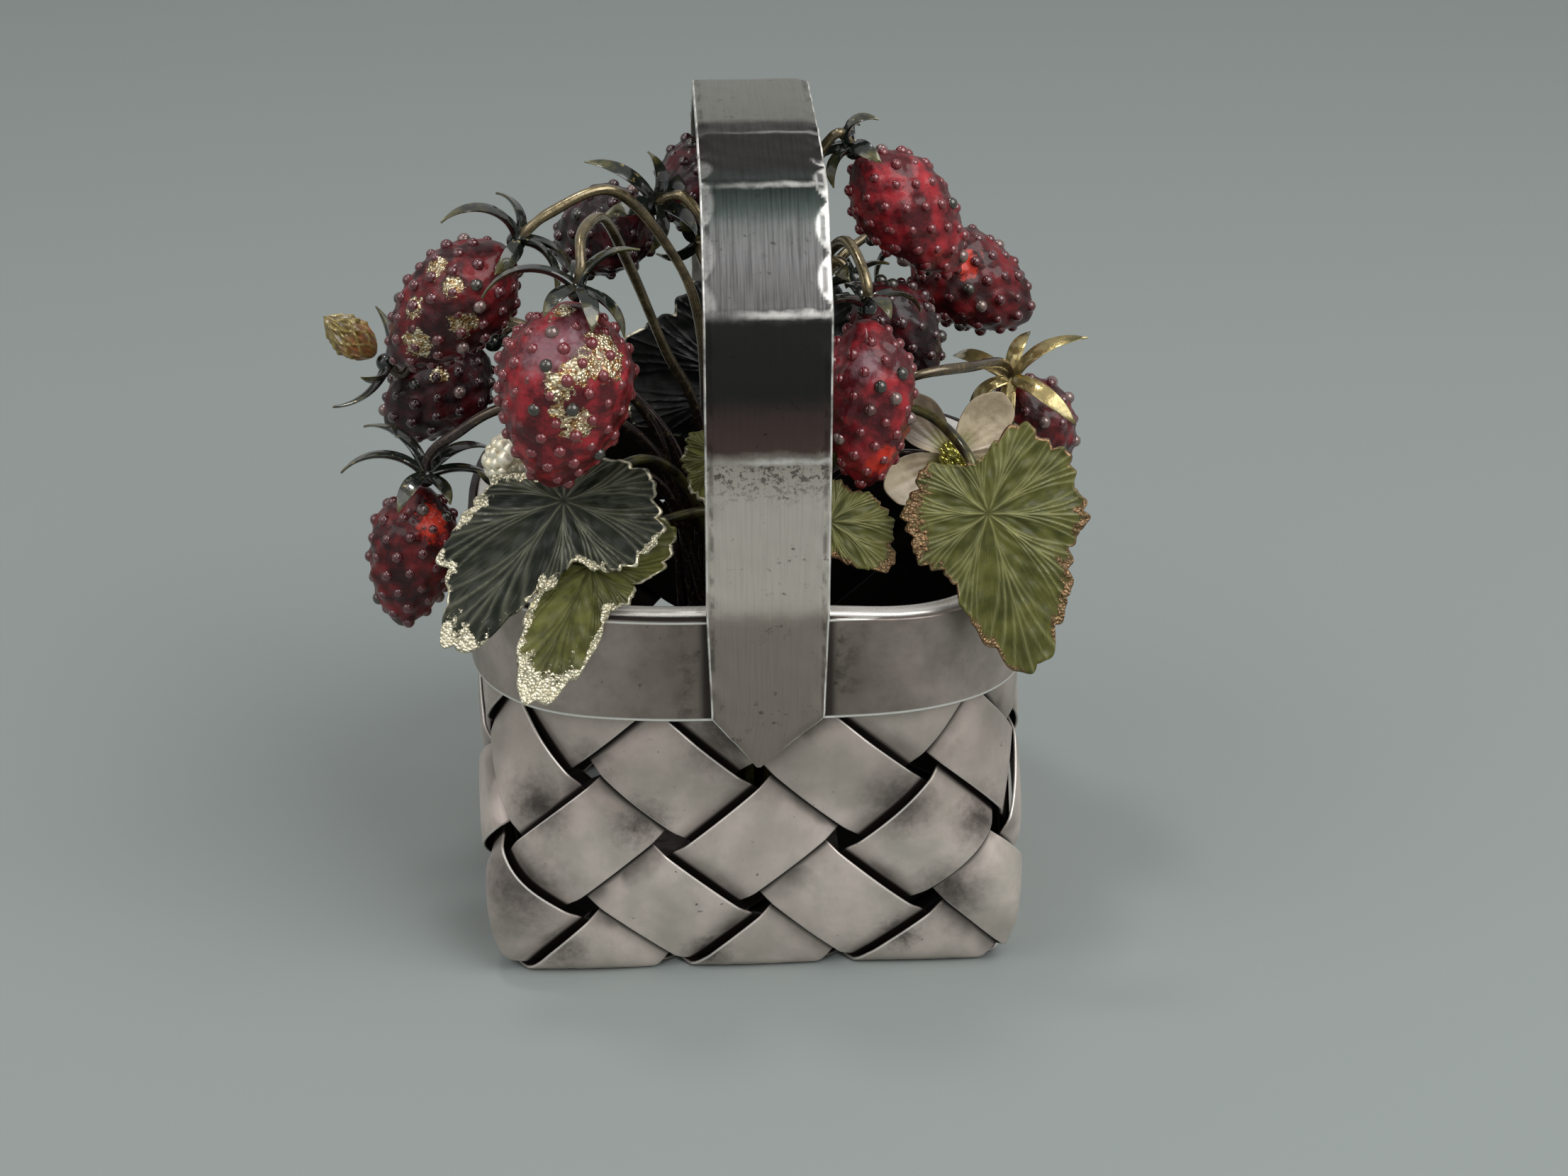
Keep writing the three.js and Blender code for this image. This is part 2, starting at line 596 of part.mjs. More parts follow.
// A leaf blade, pleated along its veins and drooping towards its margin, joined to its stalk
function leafGeometry(leaf) {
  const spokes = 20;
  const reach = (angle, i) => leafReach(leaf.reaches, angle) * (i % 2 === 0 ? 1.03 : 0.94);
  const pleat = (i) => (i % 2 === 0 ? 0.35 : -0.35) / 13;
  const relief = (distance, i) => pleat(i) * distance - leaf.droop * distance ** 2 / 169;
  const blade = sheetGeometry(reach, relief, leafGauge, spokes, 2);
  const centre = new THREE.Vector3(...leaf.centre);
  const face = new THREE.Vector3(...leaf.face).normalize();
  const down = new THREE.Vector3(...leaf.tipWay);
  down.addScaledVector(face, -down.dot(face)).normalize();
  const side = new THREE.Vector3().crossVectors(down, face);
  blade.applyMatrix4(new THREE.Matrix4().makeBasis(side, down, face).setPosition(centre));
  const root = centre.clone().addScaledVector(face, -0.5);
  const under = root.clone().addScaledVector(face, -2).addScaledVector(down, -leaf.lead);
  return joined([blade, stemGeometry(leaf.foot, leaf.via, [under, root], 7)]);
}

const leaves = [
  { name: 'leaf_dark_left', centre: [-(rim - 15.6), -(rim - 6.5), 15.3], face: [-0.2, -0.86, 0.46],
    tipWay: [-16, -8, -18.5], reaches: [25, 14, 7, 6, 7, 13, 14, 7], droop: -0.3, lead: 1,
    finish: darkGreen, foot: [-1, -2], via: [[-8, -12, 6], [-15, -22, 16]] },
  { name: 'leaf_olive_left', centre: [-(rim - 19), -(rim - 3.5), 6.7], face: [-0.05, -0.89, 0.45],
    tipWay: [-8.6, -9, -15.6], reaches: [20, 7.5, 7.5, 9, 7, 12.5, 7, 7], droop: 0.2, lead: 1,
    finish: olive, foot: [0, -2], via: [[-4, -14, 3], [-13, -26, 8]] },
  { name: 'leaf_green_right', centre: [rim - 9.3, -(rim - 4.2), 13.2], face: [0.05, -0.95, 0.3],
    tipWay: [6.4, -1.5, -24], reaches: [22.5, 10.5, 11.5, 11, 7, 13.3, 13.5, 13.5], droop: 0.5, lead: 8,
    finish: freshGreen, foot: [2, -2], via: [[11, -12, 8], [18, -17.5, 20.5], [24, -22, 22.5]] },
  { name: 'leaf_small_right', centre: [10.5, -34.5, 11.2], face: [0.1, -0.9, 0.42],
    tipWay: [9, -1.5, -7.5], reaches: [9.5, 5, 5, 5, 4.5, 6, 5.5, 5], droop: 0.3, lead: 2,
    finish: freshGreen, foot: [1, -2], via: [[4, -13, 4], [7.5, -22, 10]] },
  { name: 'leaf_small_middle', centre: [-3.5, -30, 19], face: [0, -0.85, 0.5],
    tipWay: [3, -3, -8], reaches: [9, 7, 6, 6, 5, 6, 6, 7], droop: 0.3, lead: 2,
    finish: olive, foot: [-0.5, -1], via: [[-1.8, -9, 10], [-2.6, -20, 18]] },
  { name: 'leaf_dark_back', centre: [4, 25, 9], face: [0.05, -0.97, 0.22],
    tipWay: [1, 3, 20], reaches: [16, 19, 23, 15, 6, 15, 23, 19], droop: 0.3, lead: 4,
    finish: darkGreen, foot: [0, 2], via: [[1, 8, -3], [2.6, 17, 0.5], [3.9, 25.5, 1]] },
];
for (const leaf of leaves) {
  addPiece(spray, leaf.name, leafGeometry(leaf), leaf.finish);
}

// The blossom: five petals in one sheet, a domed centre in front and a stalk behind
const blossomCentre = new THREE.Vector3(29, -20, 14.8);
const blossomFace = new THREE.Vector3(0.15, -0.9, 0.4).normalize();
const petalReach = (angle) => 3.5 + 8 * Math.abs(Math.cos(2.5 * (angle - 0.7))) ** 0.7;
const petals = sheetGeometry(petalReach, (distance) => 0.012 * distance ** 2, petalGauge, 25, 2);
const petalSide = new THREE.Vector3().crossVectors(new THREE.Vector3(0, 0, 1), blossomFace).normalize();
const petalUp = new THREE.Vector3().crossVectors(blossomFace, petalSide);
const petalFrame = new THREE.Matrix4().makeBasis(petalSide, petalUp, blossomFace);
petals.applyMatrix4(petalFrame.setPosition(blossomCentre));
addPiece(spray, 'blossom_petals', petals, cream);
const domeProfile = [[0, 0], [2.4, 0], [2.2, 1], [1.3, 1.9], [0, 2.3]].map((xy) => new THREE.Vector2(...xy));
const dome = addPiece(spray, 'blossom_centre', new THREE.LatheGeometry(domeProfile, 8), gold);
dome.position.copy(blossomCentre).addScaledVector(blossomFace, petalGauge / 2 + seatGap + 0.1);
dome.quaternion.setFromUnitVectors(new THREE.Vector3(0, 1, 0), blossomFace);
const blossomDrop = petalGauge / 2 + seatGap + stemDiameter / 2;
const blossomSeat = blossomCentre.clone().addScaledVector(blossomFace, -blossomDrop);
const cup = new THREE.IcosahedronGeometry(stemDiameter / 2, 0).translate(...blossomSeat.toArray());
const blossomEnd = [blossomSeat.clone().addScaledVector(blossomFace, -4), blossomSeat];
const blossomStalk = stemGeometry([2.5, -1], [[12, -8, 6.5], [21, -12.5, 12]], blossomEnd, 7);
addPiece(spray, 'stem_blossom', joined([blossomStalk, cup]), bronze);

// Two small buds: a closed oval one with long sepals, and a grained gold one by the dark leaf
const buds = [
  { name: 'yellow', base: [-54, 2, 23.4], tip: [-61.3, 2, 29.6], thick: 6.4, finish: budYellow,
    foot: [-3, 0], via: [[-13, -3, 12.5], [-21, -4, 23], [-34, -4, 30.5], [-44, -2, 30.6]],
    sepals: [[30, 10, 0, -70], [115, 10, 10, -60], [195, 8, 20, -60], [240, 11, 20, -50]] },
  { name: 'gold', base: [-33.2, -25.5, 15.2], tip: [-34.2, -28, 21.3], thick: 6.2, finish: gold,
    foot: [-2, -2], via: [[-14, -12, 9], [-26, -20, 11.5]],
    sepals: [[40, 6, 0, -60], [160, 6, 0, -60], [280, 6, 0, -60]] },
];
for (const bud of buds) {
  const base = new THREE.Vector3(...bud.base);
  const tip = new THREE.Vector3(...bud.tip);
  const axis = base.clone().sub(tip).normalize();
  const body = addPiece(spray, `bud_${bud.name}`, berryGeometry(base.distanceTo(tip), bud.thick), bud.finish);
  body.position.copy(base);
  body.quaternion.setFromUnitVectors(new THREE.Vector3(0, 0, 1), axis);
  const hub = base.clone().addScaledVector(axis, seatGap + hubRadius);
  const stem = stemGeometry(bud.foot, bud.via, [hub.clone().addScaledVector(axis, 3), hub], 10);
  addPiece(spray, `stem_bud_${bud.name}`, joined([stem, ...calyxGeometries(hub, axis, bud.sepals)]), bronze);
}
basket.add(spray);

// The origin is the middle of the footprint of everything, on the floor
const group = new THREE.Group();
group.add(basket);
const extent = new THREE.Box3().setFromObject(group, true);
const middle = extent.getCenter(new THREE.Vector3());
basket.position.set(-middle.x, -middle.y, 0);

export default group;
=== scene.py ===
# A small square basket plaited from flat silver strips, with a double rim band and a hammered strap
# handle. It holds a spray of enamelled strawberries, leaves and a blossom on soldered wire stems.
import math

import bpy
import numpy as np
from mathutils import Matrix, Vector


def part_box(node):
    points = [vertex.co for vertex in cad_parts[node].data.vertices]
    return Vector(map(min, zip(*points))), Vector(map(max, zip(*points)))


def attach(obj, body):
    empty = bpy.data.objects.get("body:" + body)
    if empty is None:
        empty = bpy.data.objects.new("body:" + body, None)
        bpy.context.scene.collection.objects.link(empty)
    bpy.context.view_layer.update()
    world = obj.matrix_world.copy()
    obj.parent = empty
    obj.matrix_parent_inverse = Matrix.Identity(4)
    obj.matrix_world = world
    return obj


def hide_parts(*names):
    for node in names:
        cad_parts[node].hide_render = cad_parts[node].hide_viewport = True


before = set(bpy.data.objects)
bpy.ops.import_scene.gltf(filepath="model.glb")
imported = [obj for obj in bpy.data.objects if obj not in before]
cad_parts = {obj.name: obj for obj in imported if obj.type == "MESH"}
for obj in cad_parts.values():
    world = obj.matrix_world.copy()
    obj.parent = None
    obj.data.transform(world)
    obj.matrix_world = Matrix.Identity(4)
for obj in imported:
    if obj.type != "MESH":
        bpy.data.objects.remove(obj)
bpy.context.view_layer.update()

# The camera looks down on the front of the basket, a little from its left. Places in this script are
# millimetres from the basket's axis, which runs up through the middle of the rim, and from the floor.
view_azimuth = math.radians(-2.8)
view_elevation = math.radians(24.8)
view_distance = 452
view_target = np.array([5.96, 0, 44.6])
lens_length = 68
film_width = 36
near_limit = 0.01

rim_box = np.array(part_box("outer_rim_band")) * 1000
basket_axis = np.append(rim_box[:, :2].mean(axis=0), 0)


def in_frame(points):
    """Metres in the frame from millimetres off the basket's axis."""
    return (np.asarray(points, float) + basket_axis) / 1000


view_way = np.array([
    math.sin(view_azimuth) * math.cos(view_elevation),
    -math.cos(view_azimuth) * math.cos(view_elevation),
    math.sin(view_elevation),
])
camera = bpy.data.objects.new("camera", bpy.data.cameras.new("camera"))
camera.data.lens = lens_length
camera.data.sensor_width = film_width
camera.data.clip_start = near_limit
camera.location = in_frame(view_target + view_way * view_distance)
camera.rotation_euler = (math.pi / 2 - view_elevation, 0, view_azimuth)
bpy.context.scene.collection.objects.link(camera)
bpy.context.scene.camera = camera
bpy.context.scene.view_settings.view_transform = "Standard"


# Every finish is a node material on real millimetres. A reading is what one of its nodes gives out, and
# sums, products and sizes of readings add the nodes that work them out.
class Reading:
    def __init__(self, look, socket):
        self.look = look
        self.socket = socket

    def __add__(self, other):
        return self.look.math("ADD", self, other)

    def __sub__(self, other):
        return self.look.math("SUBTRACT", self, other)

    def __rsub__(self, other):
        return self.look.math("SUBTRACT", other, self)

    def __mul__(self, other):
        return self.look.math("MULTIPLY", self, other)

    def __truediv__(self, other):
        return self.look.math("DIVIDE", self, other)

    def __abs__(self):
        return self.look.math("ABSOLUTE", self)


def most(first, *others):
    """The highest of several readings."""
    for other in others:
        first = first.look.math("MAXIMUM", first, other)
    return first


class Finish:
    """One material, or the room's light, while it is made. x, y and z are object coordinates in
    millimetres, u and v the piece's own pattern coordinates. Most methods add a node and give its
    reading."""

    def __init__(self, name, kind=bpy.data.materials):
        self.result = kind.new(name)
        self.result.use_nodes = True
        self.tree = self.result.node_tree
        self.here = self.place()
        self.x, self.y, self.z = self.split(self.here)
        self.u, self.v, _ = self.split(self.pattern())

    def feed(self, node, inputs):
        for socket, value in inputs.items():
            if isinstance(value, Reading):
                self.tree.links.new(value.socket, node.inputs[socket])
            else:
                node.inputs[socket].default_value = value

    def node(self, kind, inputs, **settings):
        node = self.tree.nodes.new(kind)
        for key, value in settings.items():
            setattr(node, key, value)
        self.feed(node, inputs)
        return node

    def add(self, kind, output, inputs, **settings):
        return Reading(self, self.node(kind, inputs, **settings).outputs[output])

    def squeezed(self, where, unit, stretch):
        scale = tuple(unit / part for part in stretch)
        return self.add("ShaderNodeMapping", "Vector", {"Vector": where, "Scale": scale})

    def place(self, stretch=(1, 1, 1)):
        """Object coordinates in millimetres, squeezed along an axis where its stretch is over 1."""
        return self.squeezed(self.add("ShaderNodeTexCoord", "Object", {}), 1000, stretch)

    def pattern(self, stretch=(1, 1, 1)):
        """The piece's own pattern coordinates, squeezed in the same way."""
        return self.squeezed(self.add("ShaderNodeUVMap", "UV", {}, uv_map="pattern"), 1, stretch)

    def split(self, vector):
        node = self.node("ShaderNodeSeparateXYZ", {"Vector": vector})
        return [Reading(self, node.outputs[axis]) for axis in "XYZ"]

    def mark(self, name):
        return self.add("ShaderNodeAttribute", "Fac", {}, attribute_name=name)

    def noise(self, size, detail=3, roughness=0.55, over=None):
        """Cloudy noise whose blots are about one size across."""
        inputs = {"Vector": over or self.here, "Scale": 1 / size, "Detail": detail, "Roughness": roughness}
        return self.add("ShaderNodeTexNoise", "Fac", inputs)

    def grains(self, size):
        """Distance to the nearest of scattered grain centres about one size apart."""
        return self.add("ShaderNodeTexVoronoi", "Distance", {"Vector": self.here, "Scale": 1 / size})

    def span(self, value, low, high, start=0.0, end=1.0):
        """Runs smoothly from start to end while the value goes from low to high."""
        inputs = {"Value": value, "From Min": low, "From Max": high, "To Min": start, "To Max": end}
        return self.add("ShaderNodeMapRange", "Result", inputs, interpolation_type="SMOOTHSTEP")

    def math(self, operation, first, second=0.0):
        return self.add("ShaderNodeMath", "Value", {0: first, 1: second}, operation=operation)

    def mix(self, share, first, second):
        return self.add("ShaderNodeMix", 2, {0: share, 6: first, 7: second}, data_type="RGBA")

    def ramp(self, value, stops):
        """Colour that blends through stops of (place from 0 to 1, colour) as the value runs on."""
        node = self.node("ShaderNodeValToRGB", {"Fac": value})
        elements = node.color_ramp.elements
        elements[0].color = stops[0][1]
        elements[1].color = stops[-1][1]
        for place, colour in stops[1:-1]:
            elements.new(place).color = colour
        return Reading(self, node.outputs["Color"])

    def bump(self, height, depth, under=None):
        """Relief of a depth in millimetres, on top of any relief under it."""
        inputs = {"Height": height, "Distance": depth / 1000, "Strength": 1.0}
        if under is not None:
            inputs["Normal"] = under
        return self.add("ShaderNodeBump", "Normal", inputs)

    def set(self, **inputs):
        """Feeds the shader's sockets and gives the finished material."""
        titles = {"ior": "IOR", "specular": "Specular IOR Level"}
        sockets = {titles.get(key, key.replace("_", " ").title()): value for key, value in inputs.items()}
        self.feed(self.tree.nodes["Principled BSDF"], sockets)
        return self.result


def paint(red, green, blue):
    """A linear colour from its screen values of 0 to 255."""
    screen = np.array([red, green, blue]) / 255
    linear = np.where(screen <= 0.04045, screen / 12.92, ((screen + 0.055) / 1.055) ** 2.4)
    return (*linear.tolist(), 1)


# The basket stands on a plain grey floor under a soft lamp high at the right, a weaker one at the left
# and a small one above. The walls of the room give off an even light, a little darker behind the basket.
floor_half_width = 4.0
floor_colour = paint(139, 146, 144)
lamp_aim = [0, 0, 55]
room_light = 0.53
room_dark = 0.38
room_way = (0.15, -0.8, 0.1)
room_span = (-0.75, 0.3)

floor_mesh = bpy.data.meshes.new("floor")
floor_corners = [(-1, -1, 0), (1, -1, 0), (1, 1, 0), (-1, 1, 0)]
floor_mesh.from_pydata(np.array(floor_corners) * floor_half_width, [], [(0, 1, 2, 3)])
floor = bpy.data.objects.new("floor", floor_mesh)
bpy.context.scene.collection.objects.link(floor)
floor_mesh.materials.append(Finish("floor_paper").set(base_color=floor_colour, roughness=0.85))


def unit(vectors):
    """Vectors brought to a length of 1."""
    return vectors / np.linalg.norm(vectors, axis=-1, keepdims=True)


def soft_lamp(name, toward, distance, side, power):
    """A square lamp of a side in metres, facing the middle of the basket from the way it stands in."""
    way = unit(np.array(toward))
    lamp = bpy.data.objects.new(name, bpy.data.lights.new(name, "AREA"))
    lamp.data.shape = "SQUARE"
    lamp.data.size = side
    lamp.data.energy = power
    lamp.location = in_frame(lamp_aim) + way * distance
    turn = math.atan2(way[1], way[0]) + math.pi / 2
    lamp.rotation_euler = (math.acos(way[2]), 0, turn)
    bpy.context.scene.collection.objects.link(lamp)


soft_lamp("right_softbox", (0.5, -0.44, 0.74), 0.95, 0.8, 6.6)
soft_lamp("left_softbox", (-0.62, -0.3, 0.62), 0.95, 0.7, 2)
soft_lamp("top_softbox", (-0.2, 0.1, 1), 0.9, 0.12, 1.2)

room = Finish("room", bpy.data.worlds)
toward = {0: room.add("ShaderNodeTexCoord", "Generated", {}), 1: room_way}
facing = room.add("ShaderNodeVectorMath", "Value", toward, operation="DOT_PRODUCT")
shade = {"Value": facing, "From Min": room_span[0], "From Max": room_span[1], "To Min": room_dark,
         "To Max": room_light}
room.feed(room.tree.nodes["Background"], {"Color": room.add("ShaderNodeMapRange", "Result", shade)})
bpy.context.scene.world = room.result


# Twelve flat silver strips, 13 mm wide and half a millimetre thick, are plaited over and under each other on
# the bias. Each rises up one wall, crosses the base and climbs the next wall. The strips bulge between their
# crossings, their edges carry painted highlights, and painted shade with some tarnish darkens them where they
# dive.
base_side = 72
crossings_per_side = 3
rows_below_band = 3.87
rim_squareness = 3.6
base_squareness = 60
wall_flare = 3.5
rim_evenness = 0.45
strip_gauge = 0.5
strip_cover = 0.78
seat_gap = 0.3
crossing_slack = 0.06
cell_bulge = 0.45
strip_crown = 0.1
fold_radius = 1.4
band_gauge = 1
band_slack = 0.2
rows_per_cell = 18

wall_height = rim_box[0, 2]
band_top = rim_box[1, 2]
rim_half_width = (rim_box[1, 0] - rim_box[0, 0]) / 2
pitch = base_side / crossings_per_side
half_base = base_side / 2
half_count = crossings_per_side / 2
lift = (strip_gauge + seat_gap + crossing_slack) / 2
floor_lift = lift + strip_gauge / 2
row_pitch = (wall_height - floor_lift) / rows_below_band
band_seat = lift + strip_gauge / 2 + seat_gap + band_slack
skin_half_width = rim_half_width - band_gauge - band_seat
lattice_length = math.hypot(pitch / 2, row_pitch)


def ease(value):
    """Smooth step: 0 below 0, 1 above 1, with level ends between."""
    part = np.clip(value, 0, 1)
    return part * part * (3 - 2 * part)


def outline(half_width, squareness, angle):
    """Superellipse point |x|^n + |y|^n = h^n at an angle from the front."""
    s, c = np.sin(angle), np.cos(angle)
    reach = half_width * (np.abs(s) ** squareness + np.abs(c) ** squareness) ** (-1 / squareness)
    return reach * s, -reach * c


def spun(x, y, turn):
    """A place turned round the basket's axis."""
    return x * np.cos(turn) - y * np.sin(turn), x * np.sin(turn) + y * np.cos(turn)


def skin(u, v):
    """The surface that the strips weave about. u counts crossings round from the front centre and v
    rows up from the base fold. The outline goes from a square to a swollen squircle at the rim, and
    at the fold inset and height follow a parabola."""
    past = v * np.where(v > 0, row_pitch, pitch / 2)
    bent = np.clip(past, -fold_radius, fold_radius)
    inset = (fold_radius - bent) ** 2 / (4 * fold_radius) - np.minimum(past + fold_radius, 0)
    height = (fold_radius + bent) ** 2 / (4 * fold_radius) + np.maximum(past - fold_radius, 0)
    rise = np.clip(height / wall_height, 0, 1)
    half_width = skin_half_width + (half_base - skin_half_width) * (1 - rise) ** wall_flare
    squareness = 1 / np.maximum(ease(rise) / rim_squareness, 1 / base_squareness)
    side = np.where(v > 0, np.round(u / crossings_per_side), 0)
    along = u - side * crossings_per_side
    flat_angle = np.arctan(along / half_count)
    even_angle = along / half_count * math.pi / 4
    angle = flat_angle + (even_angle - flat_angle) * rise * rim_evenness
    x, y = outline(half_width, squareness, angle)
    settled = ease(past / (2 * fold_radius))
    x = pitch * along + (x - pitch * along) * settled
    y = -half_base + (y + half_base) * settled + inset
    return np.stack([*spun(x, y, side * math.pi / 2), floor_lift + height], axis=-1)


def skin_normal(u, v, step=0.04):
    """Outward unit normal: a short way round the skin crossed with a short way up it."""
    return unit(np.cross(skin(u + step, v) - skin(u - step, v), skin(u, v + step) - skin(u, v - step)))


def strip_section():
    """Closed cross-section of a strip as (w, depth): two flats joined by half-round edges. w is in
    crossings and depth in millimetres."""
    half = strip_cover / 2
    nose = strip_gauge / 2 / lattice_length
    flat = (half - nose) * np.array([-1, -0.97, -0.9, -0.7, -0.47, -0.23, 0, 0.23, 0.47, 0.7, 0.9, 0.97, 1])
    arc = np.radians(np.linspace(70, -70, 6))
    edge_w = half - nose + nose * np.cos(arc)
    edge_depth = strip_gauge / 2 * np.sin(arc)
    w = np.concatenate([flat, edge_w, flat[::-1], -edge_w[::-1]])
    face = np.full(len(flat), strip_gauge / 2)
    depth = np.concatenate([face, edge_depth, -face, edge_depth[::-1]])
    return w, depth


def strip_grid(shift, wall):
    """Rows of cross-sections along a strip. Its middle swings out over each even crossing and in under
    each odd one: a sine flank between the cells, a parabola over each cell and a slight crown across."""
    wall_rows = math.ceil(rows_below_band)
    last_cell = 2 * shift + crossings_per_side + wall_rows
    half = strip_cover / 2
    count = round((last_cell + wall_rows + strip_cover) * rows_per_cell)
    s = np.linspace(-wall_rows - half, last_cell + half, count)[:, None]
    w, depth = (part[None, :] for part in strip_section())
    first_v = -s - w
    second_v = s - w - (2 * shift + crossings_per_side)
    second = second_v > first_v
    v = np.where(second, second_v, first_v)
    u = np.where(second, half_count - (s + w) / 2, shift + (w - s) / 2)
    cell = np.round(s)
    part = np.abs(s - cell)
    side = np.where(cell % 2 == 0, 1, -1)
    flank = np.sin(np.clip((0.5 - part) / (0.5 - half), 0, 1) * math.pi / 2)
    swell = (1 - (part / 0.5) ** 2) * ease(0.5 + 2 * v) * ease((rows_below_band - v) / 0.5)
    crown = strip_crown * (1 - (w / half) ** 2)
    unevenness = 0.15 * np.sin(2.3 * s + 1.9 * wall + 4 * shift) * swell
    offset = side * (lift * flank + cell_bulge * swell + crown * swell) + unevenness
    points = skin(u, v) + skin_normal(u, v) * (offset + depth)[..., None]
    swapped = np.stack([points[..., 1], -points[..., 0], points[..., 2]], axis=-1)
    points = np.where(second[..., None], swapped, points)
    x, y = spun(points[..., 0], points[..., 1], wall * math.pi / 2)
    uv = np.stack(np.broadcast_arrays(s, w), axis=-1)
    return np.stack([x, y, points[..., 2]], axis=-1), uv, np.clip(0.5 - 2 * depth, 0, 1)


def shell(grid, uv=None, looped=False, material=0, **marks):
    """A closed surface over a grid of points whose rows are closed sections. The rows either join end
    to end in a loop or are capped by a fan round the middle of the first and of the last. If the
    volume that its faces sum to is negative, all of them are turned round."""
    rows, ring = grid.shape[:2]
    points = grid.reshape(-1, 3)
    uv = np.zeros((rows * ring, 2)) if uv is None else uv.reshape(-1, 2)
    marks = {name: np.broadcast_to(value, (rows, ring)).ravel() for name, value in marks.items()}
    row = np.arange(rows if looped else rows - 1)[:, None]
    column = np.arange(ring)[None, :]
    here = row * ring + column
    beside = row * ring + (column + 1) % ring
    above = (row + 1) % rows * ring + column
    across = (row + 1) % rows * ring + (column + 1) % ring
    quads = np.stack([here, beside, across, above], axis=-1).reshape(-1, 4)
    triangles = np.concatenate([quads[:, [0, 1, 2]], quads[:, [0, 2, 3]]])
    fans = np.zeros((0, 3), int)

    def capped(values):
        return np.concatenate([values, [values[:ring].mean(axis=0), values[-ring:].mean(axis=0)]])

    if not looped:
        start = np.arange(ring)
        end = start + (rows - 1) * ring
        middle = len(points)
        fans = np.concatenate([
            np.stack([np.roll(start, -1), start, np.full(ring, middle)], axis=-1),
            np.stack([end, np.roll(end, -1), np.full(ring, middle + 1)], axis=-1),
        ])
        points, uv = capped(points), capped(uv)
        marks = {name: capped(value) for name, value in marks.items()}
        triangles = np.concatenate([triangles, fans])
    a, b, c = (points[triangles[:, k]] for k in range(3))
    if np.einsum("ij,ij->i", a, np.cross(b, c)).sum() < 0:
        quads = quads[:, ::-1]
        fans = fans[:, ::-1]
    return {"points": points, "uv": uv, "quads": quads, "fans": fans, "marks": marks, "material": material}


def add_piece(name, shells, materials, sharp=40):
    """One object from closed shells, standing for the CAD node of its name. Edges sharper than an
    angle in degrees stay crisp. A mark is 0 on the shells that don't have it."""
    counts = np.cumsum([0] + [len(part["points"]) for part in shells])
    faces, slots = [], []
    for start, part in zip(counts, shells):
        faces += (part["quads"] + start).tolist() + (part["fans"] + start).tolist()
        slots += [part["material"]] * (len(part["quads"]) + len(part["fans"]))
    mesh = bpy.data.meshes.new(name)
    mesh.from_pydata(in_frame(np.concatenate([part["points"] for part in shells])), [], faces)
    uv = np.concatenate([part["uv"] for part in shells])
    corners = np.empty(len(mesh.loops), int)
    mesh.loops.foreach_get("vertex_index", corners)
    mesh.uv_layers.new(name="pattern").uv.foreach_set("vector", uv[corners].astype(np.float32).ravel())
    for mark in {mark: None for part in shells for mark in part["marks"]}:
        values = [part["marks"].get(mark, np.zeros(len(part["points"]))) for part in shells]
        values = np.concatenate(values).astype(np.float32)
        mesh.attributes.new(mark, "FLOAT", "POINT").data.foreach_set("value", values)
    for material in materials:
        mesh.materials.append(material)
    mesh.polygons.foreach_set("material_index", np.array(slots, np.int32))
    mesh.shade_smooth()
    mesh.set_sharp_from_angle(angle=math.radians(sharp))
    piece = bpy.data.objects.new(name + "_dressed", mesh)
    bpy.context.scene.collection.objects.link(piece)
    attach(piece, "root")
    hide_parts(name)


# The near-white silver paints highlights, and the near-black paints tarnish along with painted shade, painted
# shadow and painted dark reflections.
silver_light = paint(232, 217, 208)
silver_dull = paint(200, 191, 180)
silver_grey = paint(146, 140, 132)
silver_highlight = paint(240, 238, 232)
silver_soot_and_shade = paint(26, 22, 20)


def silver_finish(name, scratch_way, soot_and_shade, shine=None, colour_layer=None):
    """Worn satin silver: clouds of thin tarnish over a warm grey metal, fine scratches along one way, small
    dark pits, and black where the dark mask is 1, which paints tarnish together with shade, shadow and dark
    reflections. The shine mask paints highlights on edges, some of them also polished by wear, and a colour
    layer, on the handle painted reflections of the room, is laid over the metal's own."""
    look = Finish(name)
    clouds = look.noise(9, 4, 0.6)
    mottle = look.noise(1.1, 3, 0.6)
    scratches = look.noise(1, 4, 0.7, scratch_way(look))
    pits = look.span(look.noise(0.9, 2, 0.4), 0.71, 0.78)
    dark_spots = pits * look.span(look.noise(6, 2), 0.5, 0.62)
    tint = look.mix(look.span(clouds, 0.35, 0.7), silver_light, silver_dull)
    tint = look.mix(look.span(mottle, 0.45, 0.85, 0, 0.35), tint, silver_dull)
    tint = look.mix(look.span(look.noise(13, 1), 0.45, 0.65, 0, 0.3), tint, silver_grey)
    if colour_layer is not None:
        tint = colour_layer(look, tint)
    stain_and_shade = most(soot_and_shade(look), dark_spots * 0.8)
    # Black for tarnish and for painted shade, painted shadow and painted dark reflections.
    tint = look.mix(stain_and_shade, tint, silver_soot_and_shade)
    roughness = look.span(scratches, 0.3, 0.75, 0.3, 0.46)
    metal = look.span(stain_and_shade, 0, 1, 0.6, 0.15)
    if shine is not None:
        # Painted highlights, on edges that are partly polished by wear as well.
        highlight_and_wear = shine(look)
        tint = look.mix(highlight_and_wear, tint, silver_highlight)
        roughness = roughness - highlight_and_wear * 0.14
    relief = look.bump(look.noise(3.5, 2), 0.06)
    relief = look.bump(scratches, 0.006, relief)
    return look.set(base_color=tint, metallic=metal, roughness=roughness, specular=0.12, normal=relief)


